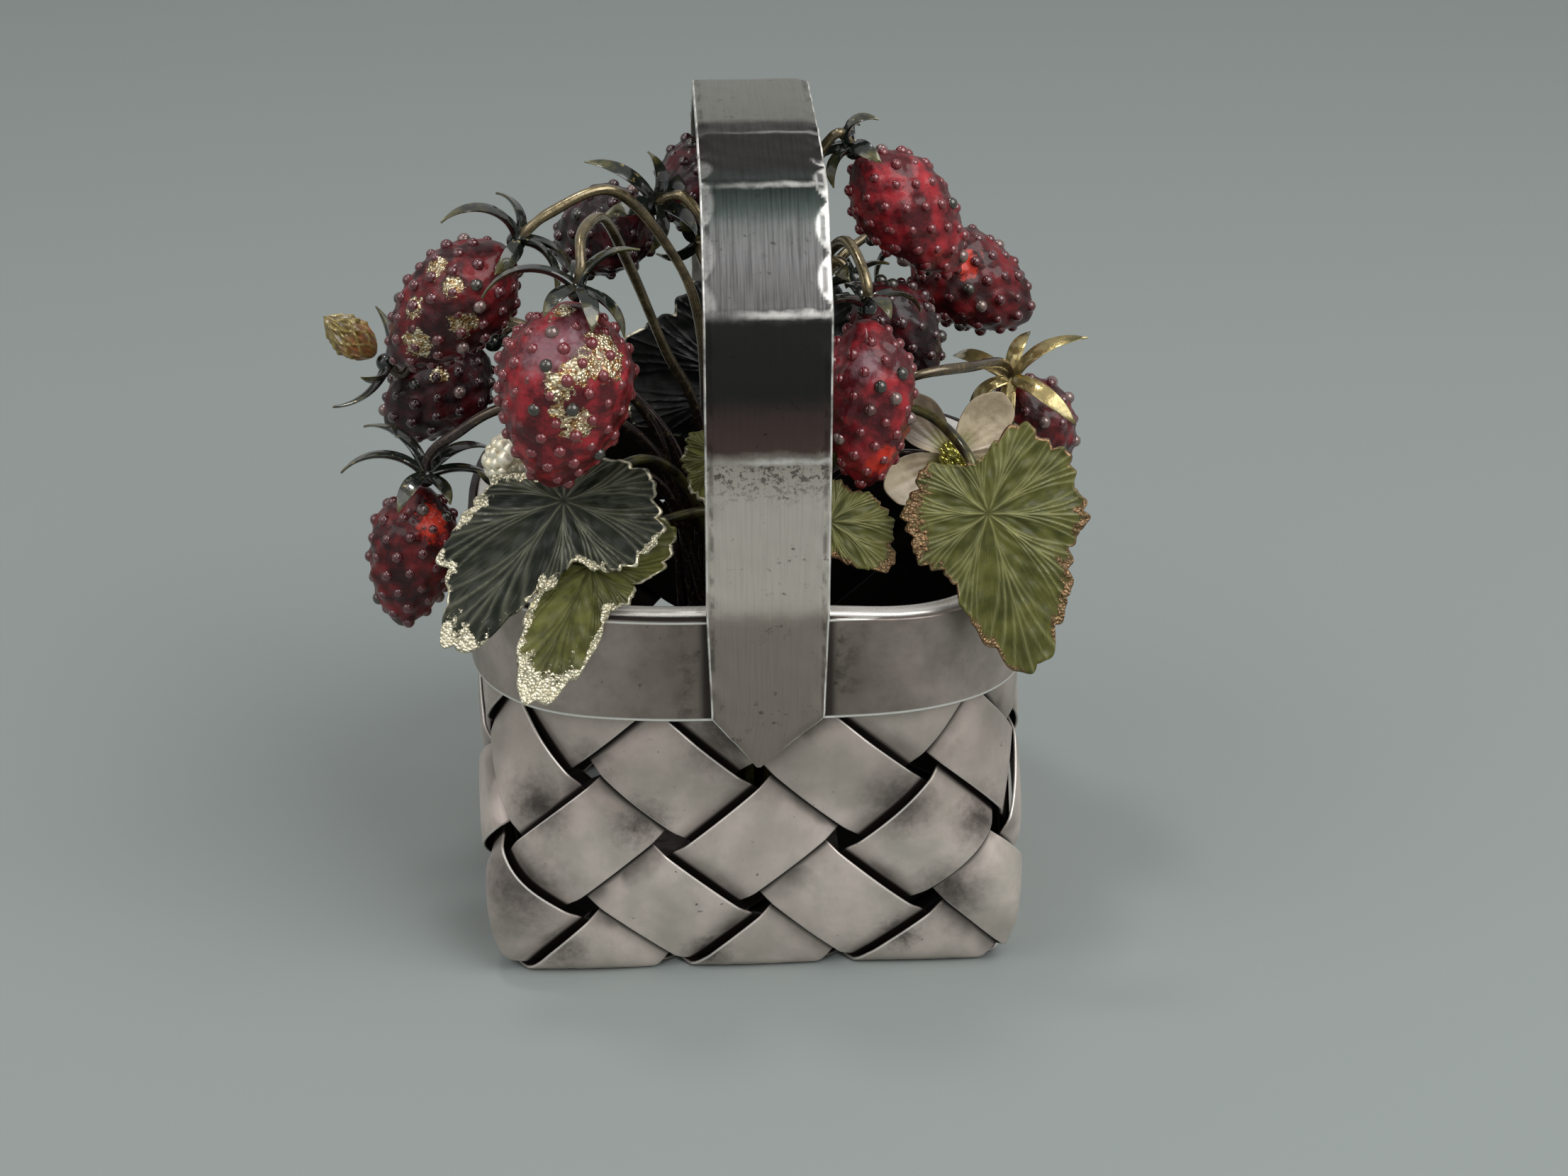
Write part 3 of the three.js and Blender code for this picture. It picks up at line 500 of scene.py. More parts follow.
# Old tarnish on the front wall, as [place, reach in millimetres].
front_smudges = [
    [(-4.6, -42, 40.2), 9], [(20.7, -41.5, 29), 8], [(-16.4, -41, 26.6), 6.5], [(-34, -37, 15.5), 12],
    [(-31.2, -38, 28.6), 7.5], [(33, -38, 25), 7], [(21, -37.5, 6.3), 4.5], [(-28.2, -36.5, 4.9), 5.5],
    [(28.5, -38, 13.6), 8], [(-6.9, -36.8, 3.5), 5], [(-24.6, -41, 35), 6],
]


def strip_soot_and_shade(look):
    """Painted shadow, with some tarnish, in a dark line where a strip dives under its neighbour, and painted
    shade mixed with tarnish in smudges beside some crossings. The side that faces the inside of the basket is
    painted black all over for the shade in there, along with tarnish."""
    from_cell = look.math("PINGPONG", look.u, 1)
    deep = look.mark("inner")
    rough = (look.noise(1.6, 4, 0.7) - 0.5) * 4.5
    for where, size in front_smudges:
        spot = (np.array(where) + basket_axis).tolist()
        away = look.add("ShaderNodeVectorMath", "Value", {0: look.here, 1: spot}, operation="DISTANCE")
        deep = most(deep, look.span(away + rough, 0, size, 0.9, 0))
    # Painted shadow along each dive, and painted shade with tarnish near it on some cells.
    line = most(look.span(from_cell, 0.5, 0.58), look.span(from_cell, 0.36, 0.56, 0, 0.3))
    ragged = (look.noise(2.5, 4, 0.65) - 0.5) * 0.14
    heavy = look.span(look.noise(8, 1), 0.44, 0.66, 0.1, 0.75)
    smudge_and_shade = heavy * look.span(from_cell + ragged, 0.3, 0.58)
    return most(line, smudge_and_shade, deep)


def strip_edge_highlight(look):
    """A painted highlight on the outermost fifth of a millimetre of each edge where the strip lies on top, on
    edges that are also burnished.
    """
    edge = look.span(abs(look.v), strip_cover / 2 - 0.016, strip_cover / 2 - 0.006)
    on_top = look.span(look.math("PINGPONG", look.u, 1), 0.36, 0.46, 0.55, 0)
    return edge * on_top * (1.0 - look.mark("inner"))


def strip_upper_tint(look, tint):
    """A brown tint that darkens the upper rows and fades towards the base."""
    cloud = (look.noise(10, 2) - 0.5) * 24
    return look.mix(look.span(look.z + cloud, 16, 40, 0, 0.36), tint, paint(96, 84, 74))


strip_silver = silver_finish("strip_silver", lambda look: look.pattern((0.09, 0.012, 1)), strip_soot_and_shade,
                             strip_edge_highlight, strip_upper_tint)
first_shift = -((crossings_per_side - 1) // 2)
for number in range(4 * crossings_per_side):
    wall, step = divmod(number, crossings_per_side)
    points, uv, inner = strip_grid(first_shift + step, wall)
    add_piece(f"plait_strip_{number + 1}", [shell(points, uv, inner=inner)], [strip_silver])


# Two silver bands clasp the strips' ends at the rim. The outer one is a plain hoop 1 mm thick. The
# inner one is rolled outward at its top into a bead that closes the gap between them.
inner_gauge = 0.8
bead_height = 1.6
bead_rise = 0.5
hoop_steps = 288
rim_sag = 1.2
sag_turn = 0.6
sag_spread = 0.3
band_round = 0.3
wall_round = 0.2
handle_offset = 1.7


def full_turn(count):
    """Angles at even steps round one whole turn."""
    return np.linspace(0, 2 * math.pi, count, endpoint=False)


def hoop_grid(section):
    """A section of [distance outside the skin, height] carried round the rim's squircle. The hoop is
    hand-made, so its radius wavers by a tenth of a millimetre and its top sags at the front right."""
    angle = full_turn(hoop_steps)[:, None]
    place, ahead, behind = (np.concatenate(outline(skin_half_width, rim_squareness, angle + turn), axis=1)
                            for turn in (0, 0.01, -0.01))
    outward = unit(ahead - behind)[:, ::-1] * [1, -1]
    waver = 0.07 * np.sin(7 * angle + 1) + 0.05 * np.sin(17 * angle)
    out = section[None, :, 0] + waver
    sag = rim_sag * np.exp(-((angle - sag_turn) / sag_spread) ** 2)
    rise = section[None, :, 1] - wall_height
    height = wall_height + rise - sag * rise / (band_top - wall_height)
    flat = place[:, None] + outward[:, None] * out[..., None]
    return np.concatenate([flat, height[..., None]], axis=-1)


def rounded_bar(left, bottom, right, top, radius, face_rows=6):
    """A rectangle with quarter-round corners, run round in one direction."""
    west, east, low, high = left + radius, right - radius, bottom + radius, top - radius
    points = []
    for x, y, start in ((east, low, -90), (east, high, 0), (west, high, 90), (west, low, 180)):
        turn = np.radians(start + np.linspace(0, 90, 5))
        arc = np.array([x, y]) + radius * np.stack([np.cos(turn), np.sin(turn)], axis=-1)
        if points:
            last = points[-1][-1]
            points.append(last + (arc[0] - last) * np.linspace(0, 1, face_rows + 2)[1:-1, None])
        points.append(arc)
    return np.concatenate(points)


def from_strap(look):
    """Millimetres to the left or the right of the handle's middle."""
    return abs(look.x - (basket_axis[0] + handle_offset))


def band_soot_and_shadow(look):
    """Painted shade with some tarnish in the seam under the bead, a painted shadow of the handle in a dark
    line beside it, and loose clouds of painted shadow and tarnish that thicken beside the handle.
    """
    seam = look.span(look.z, band_top - 0.4, band_top - 0.2, 0, 0.95)
    cloud = look.span(look.noise(4, 4, 0.7), 0.44, 0.66)
    away = from_strap(look)
    return most(seam, look.span(away, 8.7, 10, 0.85, 0), look.span(away, 9, 15, 0.75, 0.12) * cloud)


def band_handle_tint(look, tint):
    """A brown tint that is darkest beside the handle and fades towards the corners."""
    ragged = (look.noise(7) - 0.5) * 16
    return look.mix(look.span(from_strap(look) + ragged, 10, 34, 0.76, 0.42), tint, paint(60, 48, 38))


def band_edge_highlight(look):
    """Painted highlights on the band's lower edge and in a thin line below its seam."""
    line = look.span(abs(look.z - (band_top - 0.65)), 0.08, 0.22, 0.8, 0)
    return most(look.span(look.z, wall_height + 0.35, wall_height + 0.6, 0.9, 0), line)


band_silver = silver_finish("band_silver", lambda look: look.place((3, 3, 0.15)), band_soot_and_shadow, band_edge_highlight,
                            band_handle_tint)
band_section = rounded_bar(band_seat, wall_height, band_seat + band_gauge, band_top, band_round)
add_piece("outer_rim_band", [shell(hoop_grid(band_section), looped=True)], [band_silver])

bead_bottom = band_top + bead_rise - bead_height
bead_half = (2 * band_seat - seat_gap + inner_gauge) / 2
bead_centre = np.array([band_seat - seat_gap - bead_half, bead_bottom + bead_height / 2])
bead_turn = np.radians(np.linspace(-90, 180, 19))[:, None]
bead = bead_centre + np.hstack([bead_half * np.cos(bead_turn), bead_height / 2 * np.sin(bead_turn)])
inner_foot = wall_height + seat_gap
wall_face = -band_seat - inner_gauge
inner_wall = np.array([
    [wall_face, inner_foot + wall_round], [wall_face + wall_round, inner_foot],
    [-band_seat - wall_round, inner_foot], [-band_seat, inner_foot + wall_round], [-band_seat, bead_bottom]])
inner_section = np.concatenate([inner_wall, bead])
inward = np.concatenate([np.ones(len(inner_wall)), np.clip((bead_turn[:, 0] - 2.6) / 0.5, 0, 1)])


def bead_soot_and_shade(look):
    """A few clouds on the bead, which darkens to the right of the handle, and black on the wall below it
    inside the basket: painted shade there, along with tarnish.
    """
    cloud = look.span(look.noise(4), 0.5, 0.8, 0, 0.4)
    side = look.span(look.x, basket_axis[0] + 8, basket_axis[0] + 14, 0, 0.4)
    return most(look.mark("inner"), cloud, side)


# The bead's face outside the basket carries a painted highlight.
bead_silver = silver_finish("bead_silver", lambda look: look.place((3, 3, 0.3)), bead_soot_and_shade,
                            lambda look: (1.0 - look.mark("inner")) * 0.7)
inner_hoop = shell(hoop_grid(inner_section), looped=True, inner=inward)
add_piece("inner_rim_band", [inner_hoop], [bead_silver])


# The handle is one silver strap, 17 mm wide, hammered into flats with creases between them. Its long
# edges are filed to a scalloped bevel, and each end narrows to a tongue that lies on the rim band.
handle_width = 17.1
handle_gauge = 1.2
tip_offset = 0.3
tip_width = 0.6
tip_drop = 6.6
shoulder_rise = 0.8
shoulder_width = 15.9
crease_round = 1.1
bevel_width = 1.8
edge_radius = 0.22
hammer_depth = 0.05
scallop_length = 7.6
scallop_shift = 4.9
strap_step = 0.5
soot_line = 7.7
front_bends = [(0, 1.6), (2.4, 24.8), (3.6, 45.6), (-10, 58.9), (-28.2, 60.4)]
back_bends = [(0, 1.6), (2.4, 21), (1.8, 36), (-8.4, 50.6), (-28.4, 60.4)]


def strap_path():
    """Stations as (y, z, x, width): the bends joined by straight flats, sampled at even steps and run
    through a short moving average that rounds each crease."""
    leg = rim_half_width + seat_gap + handle_gauge / 2
    halves = []
    for bends, side in ((front_bends, -1), (back_bends, 1)):
        tongue = [(side * leg, wall_height - tip_drop, tip_offset, tip_width),
                  (side * leg, wall_height + shoulder_rise, handle_offset, shoulder_width)]
        arch = [(side * (leg + out), band_top + up, handle_offset, handle_width) for out, up in bends]
        halves.append(tongue + arch)
    corners = np.array(halves[0] + halves[1][::-1])
    lengths = np.append(0, np.cumsum(np.linalg.norm(np.diff(corners[:, :2], axis=0), axis=1)))
    along = np.linspace(0, lengths[-1], round(lengths[-1] / strap_step) + 1)
    path = np.stack([np.interp(along, lengths, column) for column in corners.T], axis=-1)
    window = 2 * round(crease_round / strap_step) + 1
    padded = np.pad(path, ((window // 2, window // 2), (0, 0)), mode="edge")
    even = np.ones(window) / window
    smooth = np.stack([np.convolve(column, even, "valid") for column in padded.T], axis=-1)
    smooth[:, 3] = path[:, 3]
    for end in (slice(3), slice(-3, None)):
        smooth[end] = path[end]
    return smooth, along, lengths


def strap_grid():
    """The strap's section at each station: a flat inside, a face whose bevels swell and shrink in
    scallops, and rounded rims between them."""
    path, along, lengths = strap_path()
    station = along[:, None]
    tangent = unit(np.gradient(path[:, :2], axis=0))
    side = path[:, 3:4] / 2
    narrow = np.clip(side / 4, 0.05, 1)
    deep = handle_gauge / 2
    edge_round = edge_radius * narrow
    flat_side = side - edge_round
    across = np.array([0, 0.3, 0.6, 0.72, 0.77, 0.81, 0.85, 0.89, 0.93, 0.96, 0.98, 1])
    across = np.concatenate([-across[:0:-1], across])[None, :]
    reach = across * flat_side
    from_scallop = station - lengths[4] - np.where(across > 0, scallop_shift, 1)
    wave = np.abs(np.cos(from_scallop / scallop_length * math.pi))
    scallop = np.clip((wave - 0.12) / 0.88, 0, 1) ** 0.6
    bevel = (0.25 + bevel_width * scallop) * narrow
    drop = np.clip((np.abs(reach) - (side - bevel)) / bevel, 0, 1) * (0.2 + 0.6 * scallop) * deep * narrow
    hammer = np.sin(station * 0.9 + across * 2.1) * np.sin(station * 0.37 + across * 3.7)
    face = deep - drop + hammer_depth * hammer * narrow
    turn = np.radians(np.linspace(60, -60, 5))[None, :]
    round_side = flat_side + edge_round * np.cos(turn)
    right_lift = (face[:, -1:] + deep) / 2 * (1 + np.sin(turn)) - deep
    left_lift = (face[:, :1] + deep) / 2 * (1 - np.sin(turn)) - deep
    x = np.concatenate([reach, round_side, reach[:, ::-1], -round_side], axis=1)
    out = np.concatenate([face, right_lift, np.full_like(face, -deep), left_lift], axis=1)
    y = path[:, :1] - tangent[:, 1:] * out
    z = path[:, 1:2] + tangent[:, :1] * out
    uv = np.stack(np.broadcast_arrays(station, x), axis=-1)
    cut = np.clip(drop / 0.12, 0, 1) * (np.abs(reach) > side - bevel)
    none = np.zeros_like(round_side)
    edge = np.broadcast_to(np.abs(across) > 0.99, cut.shape)
    marks = {"cut": np.concatenate([cut, none, np.zeros_like(cut), none], axis=1),
             "edge": np.concatenate([edge, none + 1, np.zeros_like(cut), none + 1], axis=1)}
    return np.stack([path[:, 2:3] + x, y, z], axis=-1), uv, lengths, marks


handle_points, handle_uv, creases, handle_marks = strap_grid()


def handle_soot_and_reflection(look):
    """Loose flecks all over, black just inside the rims, and a black flat before the top, a painted dark
    reflection with some tarnish.
    """
    along, across = look.u, look.v
    flecks = look.span(look.noise(1.6, 3, 0.7), 0.6, 0.72, 0, 0.7)
    loose = flecks * look.span(look.noise(7, 2), 0.42, 0.6)
    edge = look.span(abs(abs(across) - soot_line), 0.1, 0.5, 0.6, 0)
    broken = look.span(look.noise(3, over=look.pattern((1, 0.6, 1))), 0.4, 0.6)
    # The black flat before the top is a painted dark reflection, with some tarnish.
    black = look.span(along, creases[5] + 1, creases[5] + 8, 0, 0.95)
    black = black * look.span(along, creases[6] - 2, creases[6], 1, 0)
    low = look.span(along, creases[3] - 8, creases[3] - 1.5)
    low = low * look.span(along, creases[3] - 0.8, creases[3], 0.8, 0)
    specks = low * look.span(look.noise(1, 4, 0.75), 0.5, 0.58)
    return most(loose, black, specks, edge * broken)


def handle_highlights(look):
    """Painted highlights: bright lines on the creases and the rims, partly polished by the hammer and the
    cloth, and bright scalloped cuts on the right of the upper flats.
    """
    along, across = look.u, look.v
    patchy = look.span(look.noise(3.5, over=look.pattern((1, 2, 1))), 0.35, 0.6, 0.3, 1)
    line = look.span(look.mark("edge"), 0.2, 0.8) * patchy
    wander = (look.noise(2, over=look.pattern((1, 2, 1))) - 0.5) * 1.4
    blotch = look.span(look.noise(3, over=look.pattern()), 0.3, 0.6, 0.4, 1)
    uneven = look.span(across, -7, 3, 0.15, 1) * blotch
    for place, strength in zip(creases[3:7], (0.75, 0.95, 0.6, 0.3)):
        line = most(line, uneven * look.span(abs(along - place + wander), 0, 0.75, strength, 0))
    upper = look.span(along, creases[4] - 1, creases[4] + 1)
    upper = upper * look.span(along, creases[5] + 6, creases[5] + 9, 0.9, 0)
    right = look.span(across, 0, 1, 0.2, 1) * look.mark("cut")
    turn = (along - (creases[4] + scallop_shift)) * (math.pi / scallop_length)
    wide = look.span(abs(look.math("COSINE", turn)), 0.45, 0.85, 0, 0.85)
    from_middle = abs(across - (handle_width / 2 - 1))
    hollow = wide * look.span(from_middle, 0.2, 0.65, 1, 0)
    speckle = look.span(look.noise(1, over=look.pattern((0.6, 1, 1))), 0.3, 0.5, 0.6, 1)
    right = right * speckle * (1.0 - hollow)
    return most(line, upper * right)


# The colour of each flat of the strap, a painted reflection of the room with some tarnish, from the front
# tongue over the top to the back one, as (flat, share of its length, red, green, blue).
strap_reflection_colours = [
    (0, 0, 138, 129, 120), (1, 0.9, 142, 133, 124), (2, 0.03, 198, 189, 178), (2, 0.12, 204, 197, 186),
    (2, 0.75, 200, 193, 183), (2, 0.95, 180, 173, 162), (3, 0.02, 150, 142, 134), (3, 0.07, 84, 69, 65),
    (3, 0.3, 74, 61, 59), (3, 0.45, 46, 45, 42), (3, 0.95, 50, 50, 47), (4, 0.04, 96, 95, 94),
    (4, 0.45, 116, 115, 115), (4, 0.68, 106, 109, 107), (4, 0.78, 72, 80, 77), (4, 0.94, 42, 50, 47),
    (5, 0.08, 48, 56, 53), (5, 0.28, 28, 33, 30), (5, 0.45, 12, 12, 10), (5, 0.93, 9, 9, 8),
    (5, 0.99, 60, 58, 52), (6, 0.04, 40, 37, 32), (6, 0.15, 44, 41, 36), (6, 0.24, 124, 124, 116),
    (7, 0.3, 136, 137, 130), (7, 0.9, 104, 104, 98), (8, 0.3, 160, 157, 150), (8, 0.9, 100, 98, 94),
    (9, 0.5, 150, 146, 140), (11, 0.5, 170, 164, 156), (12, 1, 176, 170, 160),
]


def strap_reflections_and_tarnish(look, _):
    """Each flat has its own painted reflection with some tarnish, from pale grey to blue-black, and was
    brushed lengthwise.
    """
    along = look.u
    ragged = (look.noise(2.5, 4, 0.6, look.pattern()) - 0.5) * 1.8
    share = (along + ragged) / creases[-1]
    flats = np.diff(creases)
    stops = [((creases[flat] + part * flats[flat]) / creases[-1], paint(*colour))
             for flat, part, *colour in strap_reflection_colours]
    brushed = look.noise(1, 3, 0.6, look.pattern((12, 0.35, 1)))
    upper = look.span(along, creases[4] - 1, creases[4] + 1, 0.2, 1)
    upper = upper * look.span(along, creases[6], creases[6] + 2, 1, 0.2)
    return look.mix(upper * look.span(brushed, 0.38, 0.72, 0, 0.5), look.ramp(share, stops), silver_soot_and_shade)


handle_silver = silver_finish("handle_silver", lambda look: look.pattern((14, 0.45, 1)), handle_soot_and_reflection,
                              handle_highlights, strap_reflections_and_tarnish)
handle_shell = shell(handle_points, handle_uv, **handle_marks)
add_piece("strap_handle", [handle_shell], [handle_silver], sharp=35)


# The stems are soldered to a dark silver plate that lies on the woven base inside. The CAD model's own
# plate has the right shape, so it stays and only takes a finish.
plate_silver = silver_finish("plate_silver", lambda look: look.place((6, 0.4, 1)), lambda look: look.span(
    look.noise(5, 4), 0.3, 0.6, 0.8, 0.97))
plate_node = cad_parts["stem_plate"]
plate_node.data.materials.clear()
plate_node.data.materials.append(plate_silver)


# Each berry, leaf and bud is carried by a stem of enamelled wire 1.5 mm thick. The stems are soldered to
# the plate in staggered rows, rise in a sheaf through the middle and arch outward. Places in the spray
# are [x, y, height above the rim's top].
stem_diameter = 1.5
foot_pitch = 3.2
foot_start = -1.6
foot_sink = 14
hub_radius = 1.5
rim = rim_half_width
foot_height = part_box("stem_plate")[1].z * 1000 + seat_gap - band_top
lazy_sepals = [[20, 9, 55, -50], [110, 10, 50, -70], [200, 8, 60, -40], [290, 10, 45, -60]]


def smooth_path(points, count):
    """Centripetal Catmull-Rom curve: each stretch between two points is a blend of the lines through
    them and their neighbours, weighted by the square roots of the distances. Phantom points past
    the ends mirror the first and last stretch."""
    points = np.asarray(points, float)
    knots = np.vstack([2 * points[0] - points[1], points, 2 * points[-1] - points[-2]])
    gaps = np.sqrt(np.linalg.norm(np.diff(knots, axis=0), axis=1))
    t = np.append(0, np.cumsum(gaps))
    spaced = np.interp(np.linspace(0, 1, count), np.linspace(0, 1, len(points)), t[1:-1])
    k = np.clip(np.searchsorted(t, spaced, side="right") - 1, 1, len(points) - 1)

    def between(low, high, first, second):
        part = ((spaced - t[low]) / (t[high] - t[low]))[:, None]
        return first + (second - first) * part

    a = between(k - 1, k, knots[k - 1], knots[k])
    b = between(k, k + 1, knots[k], knots[k + 1])
    c = between(k + 1, k + 2, knots[k + 1], knots[k + 2])
    return between(k, k + 1, between(k - 1, k + 1, a, b), between(k, k + 2, b, c))


def tube_grid(path, radius, sides=14):
    """Circles of a radius at each path point, square to the path. They are kept from twisting by one
    reference direction for the whole path: the one in which its points vary least."""
    tangent = unit(np.gradient(path, axis=0))
    reference = np.linalg.svd(path - path.mean(axis=0))[2][2]
    side = unit(np.cross(tangent, reference))
    other = np.cross(tangent, side)
    turn = full_turn(sides)[None, :, None]
    radius = np.broadcast_to(np.asarray(radius, float), len(path))[:, None, None]
    return path[:, None] + radius * (np.cos(turn) * side[:, None] + np.sin(turn) * other[:, None])


def raised(points):
    """Places in the spray brought to the frame's own height."""
    return points + np.array([0, 0, band_top])


def stem_shell(foot, via, end, rows=90, material=0):
    """A wire from its foot on the plate through the points it passes."""
    column, row = foot
    base = [column * foot_pitch, foot_start + row * foot_pitch, foot_height]
    path = smooth_path([base, [*base[:2], -foot_sink], *via, *end], rows)
    part = np.linspace(0, 1, rows)
    waver = 1 + 0.05 * np.sin(part * 31 + column) + 0.04 * np.sin(part * 13 + row)
    return shell(raised(tube_grid(path, stem_diameter / 2 * waver)), material=material)


def sepal_grid(hub, axis, sideways, length, width, rise, end, stations=22, sides=12):
    """A pointed blade with a lens-shaped section and a midrib. It bows as an arc: its slope against
    the calyx runs evenly from its rise at the hub to its end at the tip."""
    across = np.cross(axis, sideways)
    part = np.linspace(0, 1, stations)
    slope = rise + (end - rise) * part
    out = length * (np.sin(slope) - math.sin(rise)) / (end - rise)
    up = length * (math.cos(rise) - np.cos(slope)) / (end - rise)
    centre = hub + out[:, None] * sideways + up[:, None] * axis
    normal = np.cos(slope)[:, None] * axis - np.sin(slope)[:, None] * sideways
    half_width = width / 2 * (0.6 + 1.35 * part) * (1 - part ** 2) + 0.06
    thickness = 0.5 * (1 - part) + 0.12
    turn = full_turn(sides)
    flat = np.cos(turn)[None, :, None] * half_width[:, None, None] * across
    ridge = 1 + 0.7 * np.exp(-(np.cos(turn) / 0.25) ** 2) * (np.sin(turn) > 0)
    deep = (np.sin(turn) * ridge)[None, :, None] * thickness[:, None, None] * normal[:, None]
    cupped = (np.cos(turn) ** 2)[None, :, None] * (0.3 * half_width)[:, None, None] * normal[:, None]
    return centre[:, None] + flat + deep + cupped


def globe_grid(centre, radius, rows=10, sides=16):
    """Circles of latitude of a ball, closed at both poles by short cones."""
    tilt = np.linspace(0.12, math.pi - 0.12, rows)[:, None]
    turn = full_turn(sides)[None, :]
    around = [np.sin(tilt) * np.cos(turn), np.sin(tilt) * np.sin(turn), np.cos(tilt) * np.ones_like(turn)]
    return np.asarray(centre) + radius * np.stack(around, axis=-1)


def calyx_shells(hub, axis, sepals, width=2.6):
    """A round boss and a whorl of sepals round it. Each has its turn round the boss in degrees, its
    length and its slope at the boss and at the tip in degrees, above 0 where it leaves the berry."""
    reference = np.array([1.0, 0, 0]) if abs(axis[2]) > 0.9 else np.array([0, 0, 1.0])
    start = unit(np.cross(reference, axis))
    other = np.cross(axis, start)
    shells = [shell(raised(globe_grid(hub, hub_radius * 0.95)), material=1, wear=0.3)]
    for turn, length, rise, end in sepals:
        angle = math.radians(turn)
        sideways = math.cos(angle) * start + math.sin(angle) * other
        grid = sepal_grid(hub, axis, sideways, length, width, math.radians(rise), math.radians(end))
        shells.append(shell(raised(grid), material=1, wear=np.linspace(0, 1, len(grid))[:, None]))
    return shells


def stem_enamel():
    """Olive enamel with gilt patches high up that turns violet brown lower down, with fine gilt flecks."""
    look = Finish("stem_enamel")
    patch = look.noise(5, 3, 0.6)
    height = look.z + (patch - 0.5) * 26
    gilt = look.mix(look.span(patch, 0.38, 0.66), paint(138, 124, 92), paint(86, 75, 54))
    tint = look.mix(look.span(height, band_top + 14, band_top + 36), paint(52, 38, 36), gilt)
    fine = look.noise(0.7)
    tint = look.mix(look.span(fine, 0.55, 0.8, 0, 0.5), tint, paint(176, 152, 96))
    return look.set(base_color=tint, metallic=0.75, roughness=look.span(fine, 0.3, 0.8, 0.16, 0.38),
                    coat_weight=0.6, coat_roughness=0.08, normal=look.bump(fine, 0.04))


def sepal_enamel(name, ground, metal=0.3):
    """Glossy enamel that thins to olive gold along the edges and at the tips."""
    look = Finish(name)
    patch = look.noise(2.4, 4, 0.65)
    thin = look.mark("wear") + (patch - 0.5) * 1.6
    tint = look.mix(look.span(thin, 0.5, 1.15), ground, paint(96, 92, 50))
    tint = look.mix(look.span(look.noise(1.3, 2), 0.64, 0.74, 0, 0.7), tint, paint(176, 158, 106))
    return look.set(base_color=tint, metallic=metal, roughness=0.24, coat_weight=0.9, coat_roughness=0.05,
                    normal=look.bump(patch, 0.12))


stem_finish = stem_enamel()
sepal_finish = sepal_enamel("sepal_enamel", paint(20, 27, 21))
gilt_sepal_finish = sepal_enamel("gilt_sepal_enamel", paint(176, 158, 104), 0.8)


def spine(piece):
    """The end of a berry or bud that its calyx sits on, its axis toward that end, and its length."""
    top, tip = np.array(piece["top"], float), np.array(piece["tip"], float)
    length = np.linalg.norm(top - tip)
    return top, (top - tip) / length, length


def add_stem(name, piece, calyx_finish, lead=3.5, width=2.6):
    """The stem and the calyx of a berry or bud in one piece. The wire comes in along the axis."""
    top, axis, _ = spine(piece)
    hub = top + axis * (seat_gap + hub_radius)
    stem = stem_shell(piece["foot"], piece["via"], [hub + axis * lead, hub])
    calyx = calyx_shells(hub, axis, piece.get("sepals", lazy_sepals), width)
    add_piece(name, [stem, *calyx], [stem_finish, calyx_finish])


# The berries are enamelled strawberries, swollen below the calyx and drawn in to a blunt tip. Round
# beads, set in a spiral, stand for the seeds. Grains of gold are fused to some berries in patches.
seed_diameter = 1.8
seed_spacing = 3.4
mound_height = 0.45
dent_depth = 0.25
golden_turn = math.pi * (3 - math.sqrt(5))


def berry_radius(part, radius):
    """Radius at a share of the length: a quarter sine up to the shoulder, then a power curve down."""
    swell = np.sin(np.clip((part + 0.03) / 0.39, 0, 1) * math.pi / 2) ** 0.75
    taper = np.maximum(1 - np.maximum((part - 0.36) / 0.655, 0) ** 2.1, 0) ** 0.72
    return radius * np.where(part < 0.36, swell, taper)


def turned_to(axis):
    """Rotation matrix that carries +Z to an axis by the shortest way."""
    cross = np.cross([0, 0, 1], axis)
    cosine = axis[2]
    skew = np.array([[0, -cross[2], cross[1]], [cross[2], 0, -cross[0]], [-cross[1], cross[0], 0]])
    return np.eye(3) + skew + skew @ skew / (1 + cosine)


def stood(points, axis, place):
    """Points round an upright axis leaned along another and moved to a place in the spray."""
    return raised(points @ turned_to(axis).T + place)


def seed_places(length, radius):
    """Spiral of equal spacing: seeds lie at equal steps of surface area and a golden turn apart."""
    part = np.linspace(0.05, 0.985, 400)
    reach = berry_radius(part, radius)
    area = np.append(0, np.cumsum(reach[1:] * np.hypot(np.diff(reach), np.diff(part) * length)))
    count = round(2 * math.pi * area[-1] / seed_spacing ** 2 * 1.12)
    place = np.interp((np.arange(count) + 0.5) / count, area / area[-1], part)
    return place, np.arange(count) * golden_turn


def wrapped(angle):
    """An angle brought to within half a turn of zero."""
    return (angle + math.pi) % (2 * math.pi) - math.pi


def rings(reach, turn, height):
    """Points at a reach, a turn and a height round an upright axis."""
    return np.stack(np.broadcast_arrays(reach * np.cos(turn), reach * np.sin(turn), height), axis=-1)


